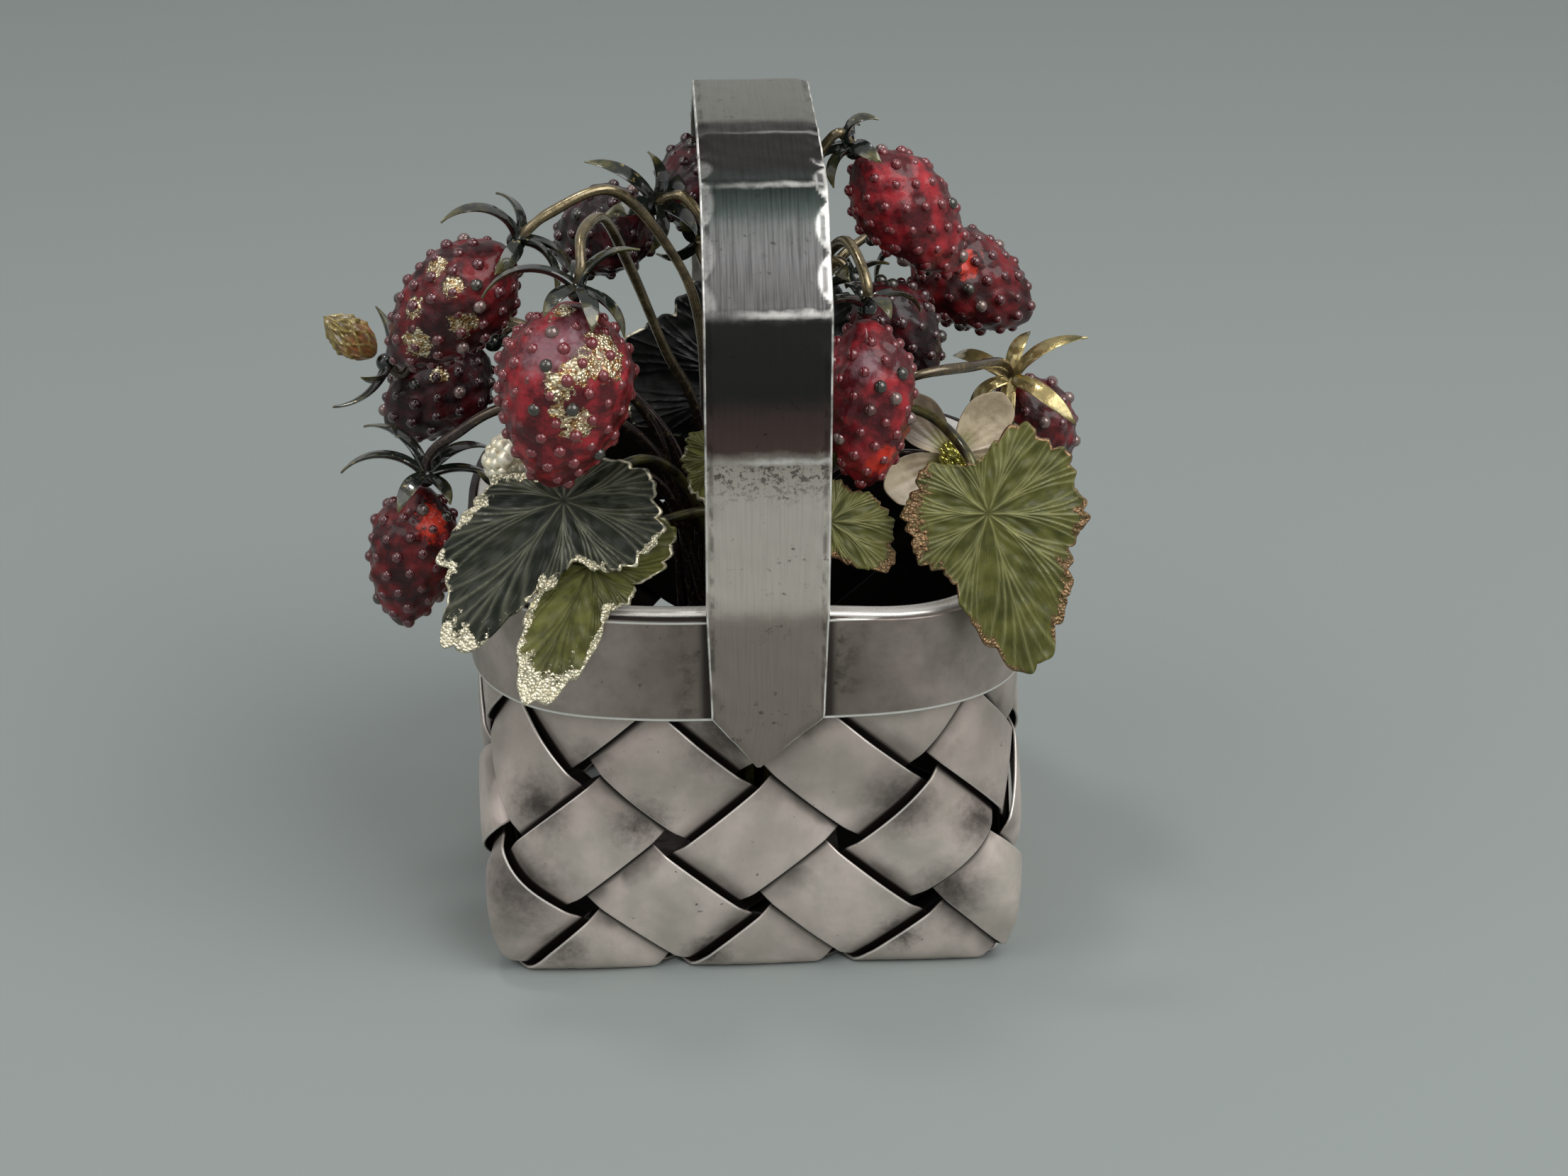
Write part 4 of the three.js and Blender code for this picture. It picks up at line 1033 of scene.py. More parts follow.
def berry_shells(berry, rough, rows=66, sides=96):
    """The body as rings from the calyx to the tip, dented between its seeds, and a bead on each seed."""
    top, axis, length = spine(berry)
    start, end = [0.004, 0.02, 0.045], [0.96, 0.975, 0.987, 0.995, 0.999]
    part = np.concatenate([start, np.linspace(0.075, 0.94, rows), end])[:, None]
    turn = full_turn(sides)
    radius = berry["thick"] / 2 - seed_diameter * 0.25
    reach = berry_radius(part, radius) * np.ones(sides)
    reach = reach * (1 + 0.025 * np.sin(3 * turn + rough) + 0.02 * np.sin(5 * turn + part * 7 + rough))
    place, angle = seed_places(length, radius)
    seed_points = rings(berry_radius(place, radius), angle, -place * length)
    body = rings(reach, turn, -part * length)
    nearest = np.linalg.norm(body[:, :, None] - seed_points[None, None], axis=-1).min(axis=-1)
    mound = mound_height * np.exp(-(nearest / (seed_spacing * 0.36)) ** 2) - dent_depth
    wave = np.sin(body @ np.array([2.1, 1.3, 0.7]) + rough) * np.sin(body @ np.array([-1.1, 1.9, 1.6]))
    grown = reach + (mound + 0.1 * wave) * np.clip(reach / radius * 2.5, 0, 1)
    marks = {name: np.zeros_like(grown) for name in ("gold", "ember", "painted_sheen")}
    for name, values in marks.items():
        for share, side, size in berry.get(name, []):
            away = np.hypot((part - share) * length, wrapped(turn - math.radians(side)) * grown)
            np.maximum(values, np.clip(1 - 0.5 * away / size, 0, 1), out=values)
    body = rings(grown, turn, -part * length)
    shells = [shell(stood(body, axis, top), **marks)]
    luck = np.random.default_rng(round(10 * rough)).random(len(place))
    for point, chance in zip(seed_points, luck):
        outward = point * [1, 1, 0]
        outward = outward / max(np.linalg.norm(outward), 1e-6)
        centre = point - outward * (0.25 - 0.15 * chance)
        ball = globe_grid(centre, seed_diameter / 2 * (0.8 + 0.3 * chance), 7, 10)
        shells.append(shell(stood(ball, axis, top), material=1, seed=chance))
    return shells


def berry_enamel(name, bright, deep):
    """Glossy transparent red over metal: deep maroon with bright cloudy places and fine grain. It burns
    orange where the ember mark is high, and in the painted sheen patches it takes a milky purple, a painted
    reflection of the lamps in the glaze. Gold grains crowd where the gold mark is high."""
    look = Finish(name)
    cloud = look.noise(4.5, 4, 0.62)
    grain = look.noise(0.6, 3, 0.65)
    tint = look.mix(look.span(cloud, 0.42, 0.68), deep, bright)
    tint = look.mix(look.span(grain, 0.5, 0.8, 0, 0.4), tint, bright)
    tint = look.mix(look.span(look.noise(2.2), 0.56, 0.7, 0, 0.6), tint, deep)
    ragged = (look.noise(1.2, 4, 0.75) - 0.5) * 1.3
    tint = look.mix(look.span(look.mark("ember") + ragged, 0.5, 0.8, 0, 0.9), tint, paint(206, 52, 30))
    tint = look.mix(look.span(look.mark("painted_sheen") + ragged, 0.3, 0.85, 0, 0.8), tint, paint(128, 88, 96))
    crumbs = look.grains(0.45)
    gilt = look.span(look.mark("gold") + ragged, 0.5, 0.58)
    metal = gilt * look.span(crumbs, 0.5, 0.9, 1, 0.3)
    shade = look.span(look.noise(0.9, 2), 0.4, 0.62)
    tint = look.mix(metal, tint, look.mix(shade, paint(248, 234, 196), paint(170, 134, 84)))
    relief = look.bump((1.0 - crumbs) * gilt, 0.3, look.bump(grain, 0.1))
    return look.set(base_color=tint, metallic=metal * 0.95, roughness=look.span(gilt, 0, 1, 0.34, 0.24),
                    specular=0.25, coat_weight=0.25, coat_roughness=0.08, normal=relief)


def bead_enamel(name, red):
    """The beads lie under the same enamel as the berry. A few are grey green or bare silver."""
    look = Finish(name)
    chance = look.mark("seed")
    tint = look.mix(look.span(chance, 0.86, 0.88), red, paint(60, 56, 48))
    tint = look.mix(look.span(chance, 0.93, 0.95), tint, paint(126, 104, 98))
    return look.set(base_color=tint, metallic=look.span(chance, 0.86, 0.88, 0.12, 0.45), roughness=0.13,
                    ior=1.6, coat_weight=1, coat_roughness=0.03)


# The maroon and dark crimson finishes are darker copies of the crimson: painted shade for the berries that
# lie in the shadow of the handle and of the spray.
berry_finishes = {
    name: [berry_enamel(name + "_enamel", paint(*bright), paint(*deep)),
           bead_enamel(name + "_beads", paint(*bead))]
    for name, bright, deep, bead in (("crimson", (168, 42, 50), (74, 19, 24), (112, 30, 36)),
                                     ("maroon", (120, 27, 32), (44, 12, 15), (84, 24, 30)),
                                     ("dark_crimson", (82, 18, 25), (24, 7, 10), (54, 17, 22)))}

# Each berry has its calyx end, its tip, its thickness, the column and the row of its stem's foot, the points
# that the stem passes, its sepals, and its patches of gold, ember and painted sheen as [share of the length,
# turn in degrees, size]. A berry without an enamel of its own is crimson.
berries = [
    {"name": "left_high", "top": [-33.5, -10, 43.2], "tip": [-50.3, -10, 26.8], "thick": 15.5,
     "enamel": "maroon", "foot": [-2, 0],
     "via": [[-6.6, -2, 29.7], [-10.2, -3, 39.9], [-18.9, -6, 50.5], [-27.5, -9, 48.2]],
     "sepals": [[55, 9, 70, -40], [105, 14, 40, -90], [180, 8, 10, -80], [235, 12, 50, -60],
                [265, 11, 60, -40]],
     "gold": [[0.34, -150, 1.8], [0.44, -75, 2.2], [0.74, -95, 2.2], [0.32, -115, 1.6], [0.6, -135, 1.6]]},
    {"name": "front_left", "top": [-23.5, -37, 44.4], "tip": [-27.5, -39, 19.4], "thick": 19.2,
     "foot": [-1.5, -1],
     "via": [[-6.9, -5, 15.7], [-11.6, -9, 27.7], [-16.3, -15, 42], [-20, -25, 52.5], [-22.6, -33, 52.5]],
     "sepals": [[20, 9, 20, -70], [58, 10, 15, -70], [100, 11, 85, -5], [180, 9, 60, -40], [270, 15, 45, -70],
                [325, 8, 20, -60]],
     "gold": [[0.26, -80, 2.2], [0.34, -95, 2.2], [0.2, -50, 3], [0.56, -75, 2.4], [0.48, -95, 1.2],
              [0, -135, 1.6]],
     "painted_sheen": [[0.2, -112, 3.6], [0.1, -90, 2]]},
    {"name": "left_middle", "top": [-38.5, 8, 21.7], "tip": [-53, 4, 10.7], "thick": 15,
     "enamel": "dark_crimson", "foot": [-2.5, 1], "via": [[-10, 3, 6.7], [-18, 5, 17], [-29, 7, 25]],
     "gold": [[0.38, -110, 1.4]]},
    {"name": "left_low", "top": [-(rim + 5.2), -14, 8.7], "tip": [-(rim + 9.5), -15, -12.3], "thick": 13.8,
     "enamel": "maroon", "foot": [-2.5, -1],
     "via": [[-13, -8, 10.7], [-24, -13, 20.7], [-35, -15.5, 21.5], [-41.5, -14.5, 17.5]],
     "sepals": [[40, 7, 20, -50], [95, 11, 40, -30], [125, 13, 65, -30], [238, 14, 65, -30],
                [270, 14, 45, -60], [335, 9, 20, -75]], "ember": [[0.16, -65, 2.6]]},
    {"name": "back_top", "top": [-6, 15, 38.2], "tip": [-6.5, 27, 48.2], "thick": 13.5,
     "enamel": "dark_crimson", "foot": [-0.5, 1], "via": [[-2, 5, 22.7], [-4.5, 9.5, 32]]},
    {"name": "behind_arch", "top": [-14, 6, 43.7], "tip": [-27, 15, 33.7], "thick": 14,
     "enamel": "dark_crimson", "foot": [-1, 0], "via": [[-3, 0, 30.7], [-5, 0.8, 42], [-8.5, 2.4, 46.8]],
     "sepals": [[15, 9, 50, -40], [70, 9, 60, -40], [118, 13, 25, -60], [168, 10, 30, -70], [230, 9, 50, -60],
                [300, 9, 60, -40]]},
    {"name": "right_top", "top": [16.9, -2, 53.4], "tip": [31.4, 2, 35.3], "thick": 14.5,
     "foot": [0, 0], "via": [[2, -1, 32.7], [4.6, -1.8, 46], [10, -3, 53.5]],
     "sepals": [[10, 8, 40, -60], [60, 9, 100, -60], [150, 8, 50, -60], [230, 8, 50, -60],
                [300, 8, 50, -60]]},
    {"name": "right_high", "top": [26.4, 16, 33.9], "tip": [44, 13, 23.7], "thick": 15.5,
     "enamel": "maroon", "foot": [1.5, 1], "via": [[7, 5, 18.7], [14, 12, 32.7]],
     "ember": [[0.34, -65, 2.8]]},
    {"name": "front_right", "top": [15.9, -28, 38.2], "tip": [16, -30, 14.7], "thick": 14.2,
     "foot": [0.5, -1], "via": [[5, -5, 18.7], [9, -10, 36.7], [13.5, -20, 47]], "ember": [[0.8, -65, 2.8]],
     "painted_sheen": [[0.2, -95, 2]]},
    {"name": "right_low", "top": [rim - 1, 0, 17.2], "tip": [rim + 6, 7, 1.6], "thick": 14,
     "enamel": "maroon", "foot": [1.5, -1], "via": [[12, -10, 17.7], [23.8, -16, 25.5], [31.7, -12, 25.2]],
     "sepals": [[48, 14, 50, -30], [98, 9, 60, -30], [172, 14, 30, -40], [240, 9, 40, -60],
                [295, 10, 20, -70], [350, 14, 30, -60]], "calyx": gilt_sepal_finish},
    {"name": "right_inner", "top": [17, -5, 35], "tip": [27.5, -9, 23.7], "thick": 13,
     "enamel": "dark_crimson", "foot": [1, 0], "via": [[5, -1.5, 25.7], [8.5, -2.5, 36.5]],
     "sepals": [[20, 9, 55, -50], [110, 6, 20, -60], [200, 8, 60, -40], [290, 10, 45, -60]]},
]
for number, berry in enumerate(berries):
    enamel = berry.get("enamel", "crimson")
    slot = "dark_crimson_enamel" if enamel == "dark_crimson" else "crimson_enamel"
    add_piece("berry_" + berry["name"], berry_shells(berry, number + 1.0), berry_finishes[enamel])
    add_stem("stem_" + berry["name"], berry, berry.get("calyx", sepal_finish))


# The leaves are silver sheet under transparent enamel, chased with forked veins, pleated between them
# and cut to a toothed margin with a raised bright edge. Foil is fused over parts of the margin. Each
# leaf is soldered to its own stem.
leaf_gauge = 0.7
leaf_size = 13
vein_height = 0.26
pleat_depth = 0.28
pucker_depth = 0.16
ruffle_depth = 0.45
lobes = 10
leaf_spokes = 480
leaf_rows = 54


def eased_reach(reaches, angle):
    """The reach at an angle: a smooth step between each of the evenly spaced values and the next."""
    reaches = np.array(reaches, float)
    count = len(reaches)
    place = (angle / (2 * math.pi / count)) % count
    before = np.floor(place).astype(int) % count
    return reaches[before] + (reaches[(before + 1) % count] - reaches[before]) * ease(place - np.floor(place))


def vein_mark(share, angle, distance):
    """1 on a vein and 0 between: a straight main vein to each lobe, and side veins that leave it at a
    third and at two thirds of the way, each bell-shaped across."""
    lobe = 2 * math.pi / lobes
    main_width, fork_width = 0.2, 0.16
    from_vein = (angle + lobe / 2) % lobe - lobe / 2
    best = np.exp(-(distance * from_vein / main_width) ** 2) * (1 - 0.3 * share)
    for start, spread, strength in ((0.25, 0.3, 0.8), (0.5, 0.17, 0.6), (0.08, 0.43, 0.55)):
        fork = lobe * spread * np.clip((share - start) / (1 - start), 0, 1) ** 0.8
        for side in (-1, 1):
            near = np.exp(-(distance * (from_vein - side * fork) / fork_width) ** 2)
            best = np.maximum(best, strength * near * ease((share - start) / 0.06))
    return best * ease(distance / 1.2)


def sheet_rings(inward, reach, bead, sunk):
    """The rings of a thin sheet from its middle over the face to the margin, round its rounded edge and
    back along the underside. They are given as shares of the reach, distances from the middle, and
    places between the face at 1 and the underside at -1."""
    tilt = np.radians(np.linspace(60, -60, 5))[:, None]
    share = np.concatenate([inward, np.ones((5, 1)), inward[::-1]])
    beyond = np.concatenate([0 * inward, bead * (np.cos(tilt) - sunk), 0 * inward])
    upper = np.concatenate([inward * 0 + 1, np.sin(tilt), inward * 0 - 1])
    return share, share * reach + beyond, upper


def leaf_shells(leaf, number):
    """The blade as rings from the middle of its face out to the margin, round its bead and back along
    its underside. Teeth and lobes are cosines of the angle; the pleats and the droop grow outward."""
    angle = full_turn(leaf_spokes)[None, :] - math.pi
    lobed = np.cos(lobes * angle + math.pi * lobes)
    tooth_wave = np.abs(np.sin(angle * 14 + 0.6 * np.sin(3 * angle + number)))
    teeth = 0.065 * (tooth_wave ** 0.6 - 0.7) + 0.014 * np.sin(41 * angle + number)
    reach = eased_reach(leaf["reaches"], angle) * (0.99 + 0.04 * lobed + teeth)
    inward = np.concatenate([np.linspace(0.008, 0.9, leaf_rows - 8), np.linspace(0.92, 0.985, 8)])[:, None]
    share, distance, upper = sheet_rings(inward, reach, 0.42, 0.6)
    thickness = leaf_gauge / 2 * (1 + 0.35 * ease((share - 0.93) / 0.06)) * upper
    veins = vein_mark(share, angle, distance)
    pleat = pleat_depth * lobed * distance / leaf_size
    pucker = np.sin(distance * 1.5 + 2 * np.sin(angle * 5 + number)) * np.sin(angle * 15) * ease(distance / 5)
    ruffle = ruffle_depth * np.sin(7 * angle + number * 2) * share ** 4
    droop = leaf["droop"] * (distance / leaf_size) ** 2
    height = pleat - droop + pucker_depth * pucker + ruffle + vein_height * veins + thickness
    x, y = distance * np.sin(angle), distance * np.cos(angle)
    centre = np.array(leaf["centre"], float)
    face = unit(np.array(leaf["face"], float))
    down = np.array(leaf["tip_way"], float)
    down = unit(down - face * (down @ face))
    points = centre + x[..., None] * np.cross(down, face) + y[..., None] * down + height[..., None] * face
    foil = np.zeros_like(height)
    for turn, spread, depth in leaf["foil"]:
        window = np.clip(1.4 - np.abs(wrapped(angle - math.radians(turn))) / math.radians(spread), 0, 1)
        foil = np.maximum(foil, np.clip(1.2 - (reach - distance) / depth, 0, 1) * window)
    margin = np.exp(-((reach - distance) / 0.5) ** 2)
    uv = np.stack([x, y], axis=-1)
    blade = shell(raised(points), uv, vein=veins, gilding=foil, margin=margin)
    root = centre - face * 0.5
    end = [root - face * 2 - down * leaf["lead"], root]
    return [blade, stem_shell(leaf["foot"], leaf["via"], end, rows=70, material=1)]


def leaf_enamel(name, ground, light, vein_colour, foil_colour, vein_share=0.8, vein_metal=0.2, rays=0.4):
    """Glossy green over chased silver. Fine lines radiate from the middle, the veins take their own
    colour, and grains of foil crowd along parts of the margin."""
    look = Finish(name)
    x, y = look.u, look.v
    polar = {"X": look.math("ARCTAN2", x, y) * 26, "Y": look.math("SQRT", x * x + y * y) * 0.16}
    lines = look.noise(1.1, 3, 0.6, look.add("ShaderNodeCombineXYZ", "Vector", polar))
    cloud = look.noise(4.5, 3, 0.6)
    tint = look.mix(look.span(cloud, 0.38, 0.64), ground, light)
    tint = look.mix(look.span(lines, 0.5, 0.74, 0, rays), tint, vein_colour)
    tint = look.mix(look.mark("vein") * vein_share, tint, vein_colour)
    ragged = (look.noise(1.5, 4, 0.72) - 0.5) * 2.2
    crumbs = look.grains(0.42)
    gilt = look.span(look.mark("gilding") + ragged, 0.5, 0.62)
    bright_edge = look.span(look.mark("margin"), 0.5, 0.95) * look.span(look.noise(3, 2), 0.44, 0.6)
    metal = most(gilt * look.span(crumbs, 0.45, 0.8, 1, 0.45), bright_edge)
    tint = look.mix(metal, tint, foil_colour)
    relief = look.bump((1.0 - crumbs) * gilt, 0.3, look.bump(lines, 0.1))
    shine = most(metal, look.mark("vein") * vein_metal)
    return look.set(base_color=tint, metallic=shine, roughness=look.span(cloud, 0.3, 0.7, 0.34, 0.44),
                    specular=0.25, coat_weight=0.12, coat_roughness=0.14, normal=relief)


def stalk_enamel():
    """The leaf stalks wear the leaves' own olive green, thin enough for the gilt to show."""
    look = Finish("stalk_enamel")
    patch = look.noise(3)
    tint = look.mix(look.span(patch, 0.4, 0.65), paint(96, 92, 48), paint(48, 46, 30))
    return look.set(base_color=tint, metallic=0.6, roughness=0.3, coat_weight=0.5, coat_roughness=0.1,
                    normal=look.bump(patch, 0.08))


white_gold = paint(236, 228, 200)
leaf_finishes = {
    "dark_green_enamel": leaf_enamel("dark_green_enamel", paint(17, 22, 12), paint(36, 40, 25),
                                     paint(156, 156, 134), white_gold, 0.42, 0.6, 0.1),
    "olive_enamel": leaf_enamel("olive_enamel", paint(70, 70, 30), paint(104, 104, 50),
                                paint(56, 56, 28), paint(240, 232, 204), rays=0.25),
    "fresh_green_enamel": leaf_enamel("fresh_green_enamel", paint(64, 66, 24), paint(90, 90, 38),
                                      paint(166, 164, 112), paint(150, 120, 90), 0.5, rays=0.16),
}
# The back leaf's near-black enamel is painted shade: the leaf fills the shadowed space behind the spray.
shadow_enamel = leaf_enamel("shade_black_green_enamel", paint(6, 9, 7), paint(14, 18, 14), paint(30, 34, 30),
                            white_gold, 0.3, 0.2, 0.1)
stalk_finish = stalk_enamel()

# Each leaf has the centre of its veins, the way that its face and its tip point, how far its margin
# droops, and its reaches from the centre to the margin at even steps round it, from the tip round by the
# viewer's left. Lead is how far below the centre its stem comes in, and foil is [turn, spread in
# degrees, depth].
leaves = [
    {"name": "leaf_dark_left", "centre": [-(rim - 15.6), -(rim - 6.5), 15.3], "face": [-0.2, -0.86, 0.46],
     "tip_way": [-16, -8, -18.5], "droop": -0.3, "lead": 1,
     "reaches": [25, 20, 14.5, 10.5, 7, 6.5, 6, 6.5, 7, 10.5, 13, 14, 14, 11, 8.6, 13],
     "slot": "dark_green_enamel", "foot": [-1, -2], "via": [[-8, -12, 6], [-15, -22, 16]],
     "foil": [[0, 9, 5], [24, 9, 2], [48, 12, 3], [80, 14, 3.5], [-60, 12, 2], [-25, 10, 2.5],
              [-100, 10, 1.2]]},
    {"name": "leaf_olive_left", "centre": [-(rim - 19), -(rim - 3.5), 6.7], "face": [-0.05, -0.89, 0.45],
     "tip_way": [-8.6, -9, -15.6], "reaches": [20, 7.5, 7.5, 9, 7, 12.5, 7, 7], "droop": 0.2, "lead": 1,
     "slot": "olive_enamel", "foot": [0, -2], "via": [[-4, -14, 3], [-13, -26, 8]],
     "foil": [[0, 17, 6], [32, 22, 2.6], [-36, 28, 2.2]]},
    {"name": "leaf_green_right", "centre": [rim - 9.3, -(rim - 4.2), 13.2], "face": [0.05, -0.95, 0.3],
     "tip_way": [6.4, -1.5, -24], "reaches": [22.5, 10.5, 11.5, 11, 7, 13.3, 13.5, 13.5], "droop": 0.5,
     "lead": 8, "slot": "fresh_green_enamel", "foot": [2, -2],
     "via": [[11, -12, 8], [18, -17.5, 20.5], [24, -22, 22.5]],
     "foil": [[100, 40, 3], [-30, 22, 2.5], [-70, 14, 2], [15, 12, 2]]},
    {"name": "leaf_small_right", "centre": [10.5, -34.5, 11.2], "face": [0.1, -0.9, 0.42],
     "tip_way": [9, -1.5, -6.5], "reaches": [10.5, 5, 5, 5, 4.5, 6, 5.5, 8.3], "droop": 0.3, "lead": 2,
     "slot": "fresh_green_enamel", "foot": [1, -2], "via": [[4, -13, 4], [7.5, -22, 10]],
     "foil": [[0, 16, 2], [40, 20, 1.2]]},
    # A near-black leaf standing in for the deep shade behind the spray.
    {"name": "leaf_dark_back", "centre": [4, 25, 9], "face": [0.05, -0.97, 0.22],
     "tip_way": [1, 3, 20], "reaches": [16, 19, 23, 15, 6, 15, 23, 19], "droop": 0.3, "lead": 4,
     "slot": "dark_green_enamel", "foot": [0, 2], "via": [[1, 8, -3], [2.6, 17, 0.5], [3.9, 25.5, 1]],
     "foil": [], "finish": shadow_enamel},
    {"name": "leaf_small_middle", "centre": [-3.5, -30, 19], "face": [0, -0.85, 0.5],
     "tip_way": [3, -3, -8], "reaches": [9, 7, 6, 6, 5, 6, 6, 7], "droop": 0.3, "lead": 2,
     "slot": "olive_enamel", "foot": [-0.5, -1], "via": [[-1.8, -9, 10], [-2.6, -20, 18]],
     "foil": [[0, 20, 2]]},
]
for number, leaf in enumerate(leaves):
    finish = leaf.get("finish", leaf_finishes[leaf["slot"]])
    add_piece(leaf["name"], leaf_shells(leaf, number), [finish, stalk_finish])


# One blossom opens behind the green leaf: five round petals of cream enamel in one dished sheet, a
# grained gold centre and a stem that meets the sheet from behind.
petal_gauge = 0.6
petal_turns = [48, 116, 182, -114, -40]
petal_root = 3.4
petal_length = 7.9
blossom_middle = np.array([29, -20, 14.8])
blossom_face = unit(np.array([0.15, -0.9, 0.4]))
blossom_side = unit(np.cross([0, 0, 1], blossom_face))
blossom_up = np.cross(blossom_face, blossom_side)


def petal_shell(spokes=240, rows=34):
    """A ring sheet like a leaf's: five lobes of a rounded cosine, each lobe cupped along its middle."""
    angle = full_turn(spokes)[None, :] - math.pi
    from_petal = wrapped(angle - np.radians(petal_turns)[:, None])
    lobe = np.cos(np.clip(2.5 * from_petal, -math.pi / 2, math.pi / 2)).max(axis=0)[None, :]
    reach = petal_root + petal_length * lobe ** 0.7 + 0.12 * np.sin(19 * angle)
    share, distance, upper = sheet_rings(np.linspace(0.01, 0.98, rows)[:, None], reach, 0.2, 0.5)
    cup = -0.5 * lobe * np.sin(share * math.pi) + 0.35 * (1 - lobe) * share ** 2
    crease = 0.08 * np.cos(30 * angle) * share * np.sin(share * math.pi)
    height = 0.012 * distance ** 2 + cup + crease + petal_gauge / 2 * upper
    x, y = distance * np.sin(angle), distance * np.cos(angle)
    points = blossom_middle + x[..., None] * blossom_side + y[..., None] * blossom_up
    return shell(raised(points + height[..., None] * blossom_face), np.stack([x, y], axis=-1), tint=share)


def cream_enamel():
    """Cream enamel, greenish at the middle, with a painted brown shadow on the petal at the upper left."""
    look = Finish("cream_enamel")
    cloud = look.noise(3)
    tint = look.mix(look.span(cloud, 0.35, 0.65), paint(196, 180, 152), paint(160, 144, 118))
    shaded = look.span(look.u, -2, 1, 1, 0) * look.span(look.v, 0, 3)
    tint = look.mix(shaded * 0.75, tint, paint(66, 50, 40))
    tint = look.mix(look.span(look.mark("tint"), 0.2, 0.5, 0.9, 0), tint, paint(120, 116, 56))
    return look.set(base_color=tint, roughness=0.42, coat_weight=0.3, coat_roughness=0.2,
                    normal=look.bump(look.noise(0.8, 2), 0.08))


add_piece("blossom_petals", [petal_shell()], [cream_enamel()])


def granule_shells(middle, axis, length, radius, count, size, seed):
    """Grains heaped on an egg: balls of uneven size on a spiral of equal steps in height, over a
    smooth core that closes the gaps between them."""
    luck = np.random.default_rng(seed)
    core = globe_grid([0, 0, 0], 1, 14, 20) * [radius * 0.9, radius * 0.9, length / 2 * 0.92]
    shells = [shell(stood(core, axis, middle))]
    height = 1 - 2 * (np.arange(count) + 0.5) / count
    centres = rings(np.sqrt(1 - height ** 2) * radius, np.arange(count) * golden_turn, height * length / 2)
    for centre, share in zip(centres * 0.95, luck.random(count)):
        ball = globe_grid(centre, size * (0.75 + 0.5 * share), 6, 9)
        shells.append(shell(stood(ball, axis, middle)))
    return shells


def gold_finish(name, bright, dull, metal=1.0):
    """Grained gold, dark between the grains."""
    look = Finish(name)
    tint = look.mix(look.span(look.noise(1.5), 0.4, 0.7), bright, dull)
    return look.set(base_color=tint, metallic=metal, roughness=0.26,
                    normal=look.bump(look.noise(0.5, 2), 0.05))


centre_gold = gold_finish("blossom_gold", paint(190, 186, 104), paint(138, 128, 60))
centre_middle = blossom_middle + blossom_face * (petal_gauge / 2 + seat_gap + 1.2)
centre_grains = granule_shells(centre_middle, blossom_face, length=2.6, radius=2.2, count=60, size=0.42,
                               seed=5)
add_piece("blossom_centre", centre_grains, [centre_gold])

blossom_seat = blossom_middle - blossom_face * (petal_gauge / 2 + seat_gap + stem_diameter / 2)
blossom_stalk = stem_shell([2.5, -1], [[12, -8, 6.5], [21, -12.5, 12]],
                           [blossom_seat - blossom_face * 4, blossom_seat])
cup = shell(raised(globe_grid(blossom_seat, stem_diameter * 0.52)))
add_piece("stem_blossom", [blossom_stalk, cup], [stem_finish])


# Two buds: a closed oval one netted with ochre enamel, with long thin sepals, and a nugget of white
# gold grains beside the dark leaf.
buds = [
    {"name": "yellow", "top": [-54, 2, 23.4], "tip": [-61.3, 2, 29.6], "thick": 6.4,
     "foot": [-3, 0], "via": [[-13, -3, 12.5], [-21, -4, 23], [-34, -4, 30.5], [-44, -2, 30.6]],
     "sepals": [[30, 10, 0, -70], [115, 10, 10, -60], [195, 8, 20, -60], [240, 11, 20, -50]]},
    {"name": "gold", "top": [-33.2, -25.5, 15.2], "tip": [-34.2, -28, 21.3], "thick": 6.2,
     "foot": [-2, -2], "via": [[-14, -12, 9], [-26, -20, 11.5]],
     "sepals": [[40, 6, 0, -60], [160, 6, 0, -60], [280, 6, 0, -60]]},
]


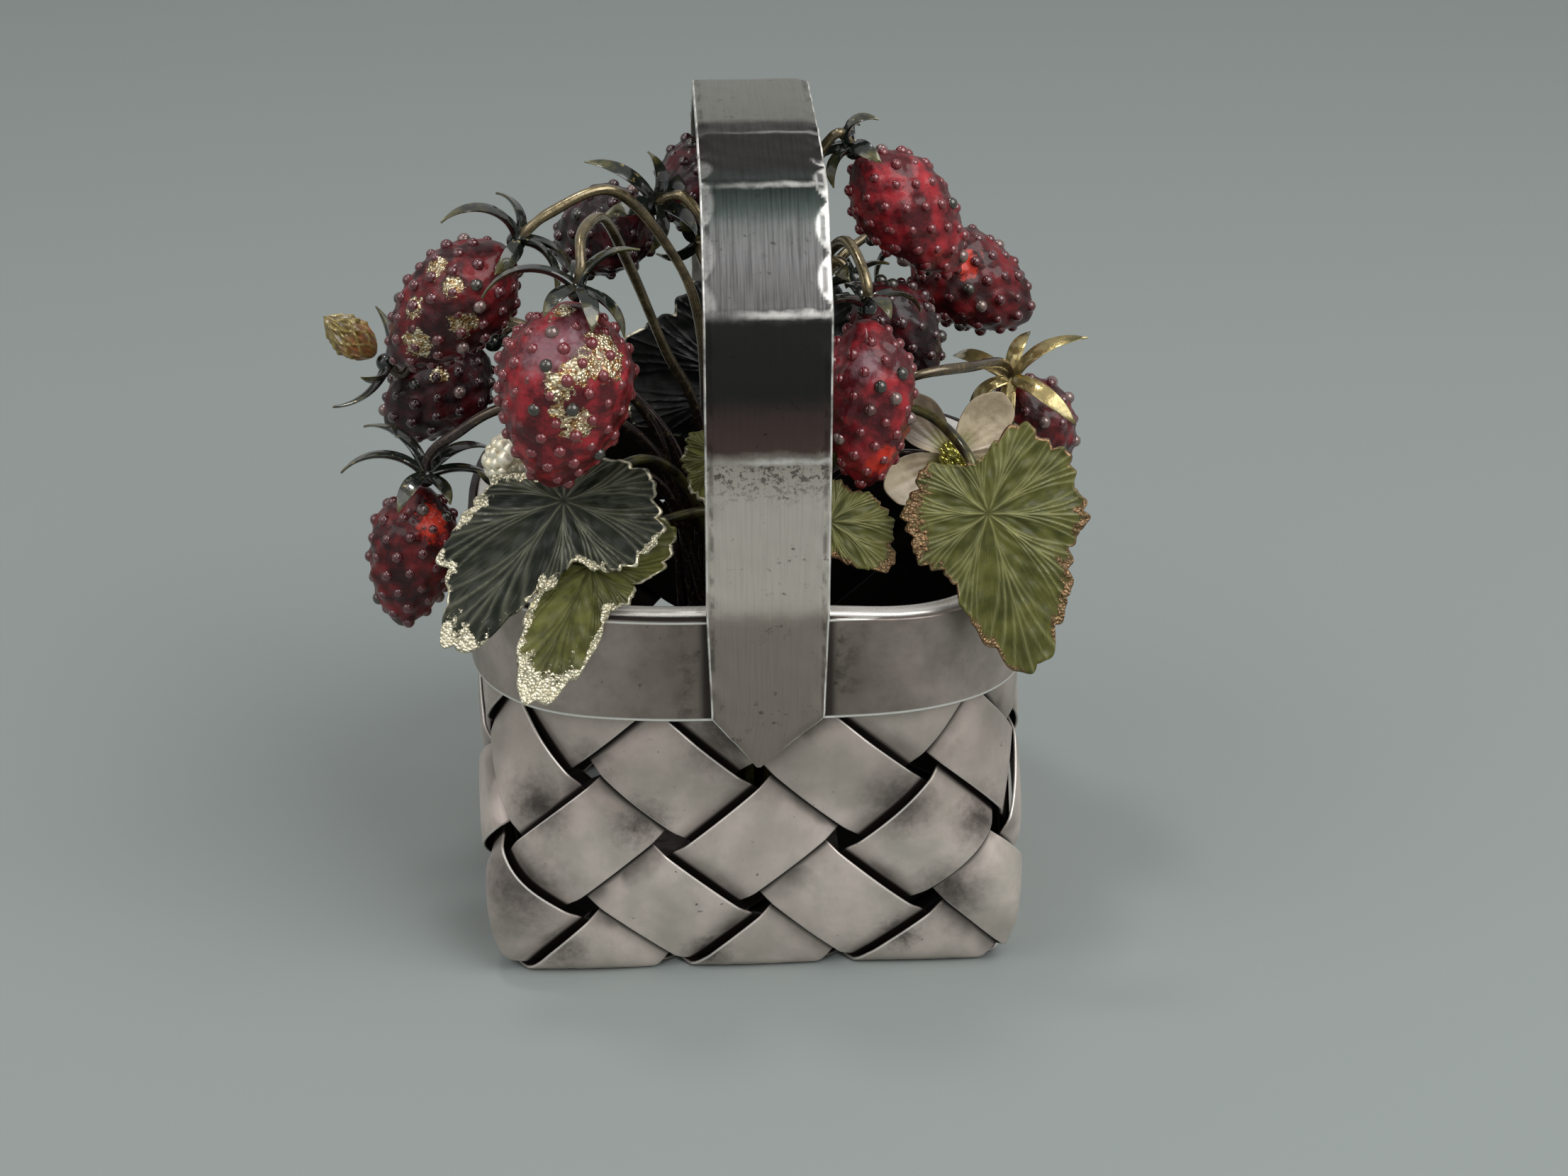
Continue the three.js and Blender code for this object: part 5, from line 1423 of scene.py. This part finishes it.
def netted_bud_shell(bud, rows=60, sides=84):
    """An egg from its stem to its tip with two families of raised threads that cross in a net."""
    top, axis, length = spine(bud)
    part = np.linspace(0.01, 0.99, rows)[:, None]
    turn = full_turn(sides)[None, :]
    radius = (bud["thick"] / 2 - 0.2) * np.sin(part * math.pi) ** 0.55 * (1 - 0.25 * part)
    one = np.exp(-((np.sin(3.5 * turn + part * 9)) / 0.3) ** 2)
    other = np.exp(-((np.sin(3.5 * turn - part * 9)) / 0.3) ** 2)
    net = np.maximum(one, other)
    ragged = np.abs(np.sin(5 * turn + 7 * part) * np.sin(9 * turn - 4 * part)) * part ** 0.5
    radius = radius - 0.5 * part + (0.3 * net + 0.9 * ragged) * np.sin(part * math.pi)
    grid = rings(radius, turn, -part * length)
    return shell(stood(grid, axis, top), net=net, part=part)


def net_enamel():
    """Ochre enamel that turns olive toward the tip, with pale threads."""
    look = Finish("yellow_enamel")
    cloud = look.noise(1.8)
    tint = look.mix(look.span(look.mark("part"), 0.3, 0.7), paint(150, 92, 52), paint(122, 104, 56))
    tint = look.mix(look.span(cloud, 0.4, 0.7, 0, 0.7), tint, paint(62, 56, 32))
    tint = look.mix(look.mark("net") * 0.8, tint, paint(176, 158, 92))
    return look.set(base_color=tint, metallic=look.mark("net") * 0.5, roughness=0.32,
                    coat_weight=0.6, coat_roughness=0.1, normal=look.bump(cloud, 0.1))


yellow_bud, gold_bud = buds
nugget_top, nugget_axis, nugget_length = spine(gold_bud)
nugget_grains = granule_shells(nugget_top - nugget_axis * nugget_length / 2, nugget_axis, nugget_length,
                               radius=gold_bud["thick"] / 2 - 0.4, count=46, size=1.15, seed=9)
nugget_gold = gold_finish("nugget_gold", paint(252, 246, 226), paint(236, 224, 190), 0.45)
add_piece("bud_yellow", [netted_bud_shell(yellow_bud)], [net_enamel()])
add_stem("stem_bud_yellow", yellow_bud, sepal_finish, 3, 1.9)
add_piece("bud_gold", nugget_grains, [nugget_gold])
add_stem("stem_bud_gold", gold_bud, sepal_finish, 3, 1.9)
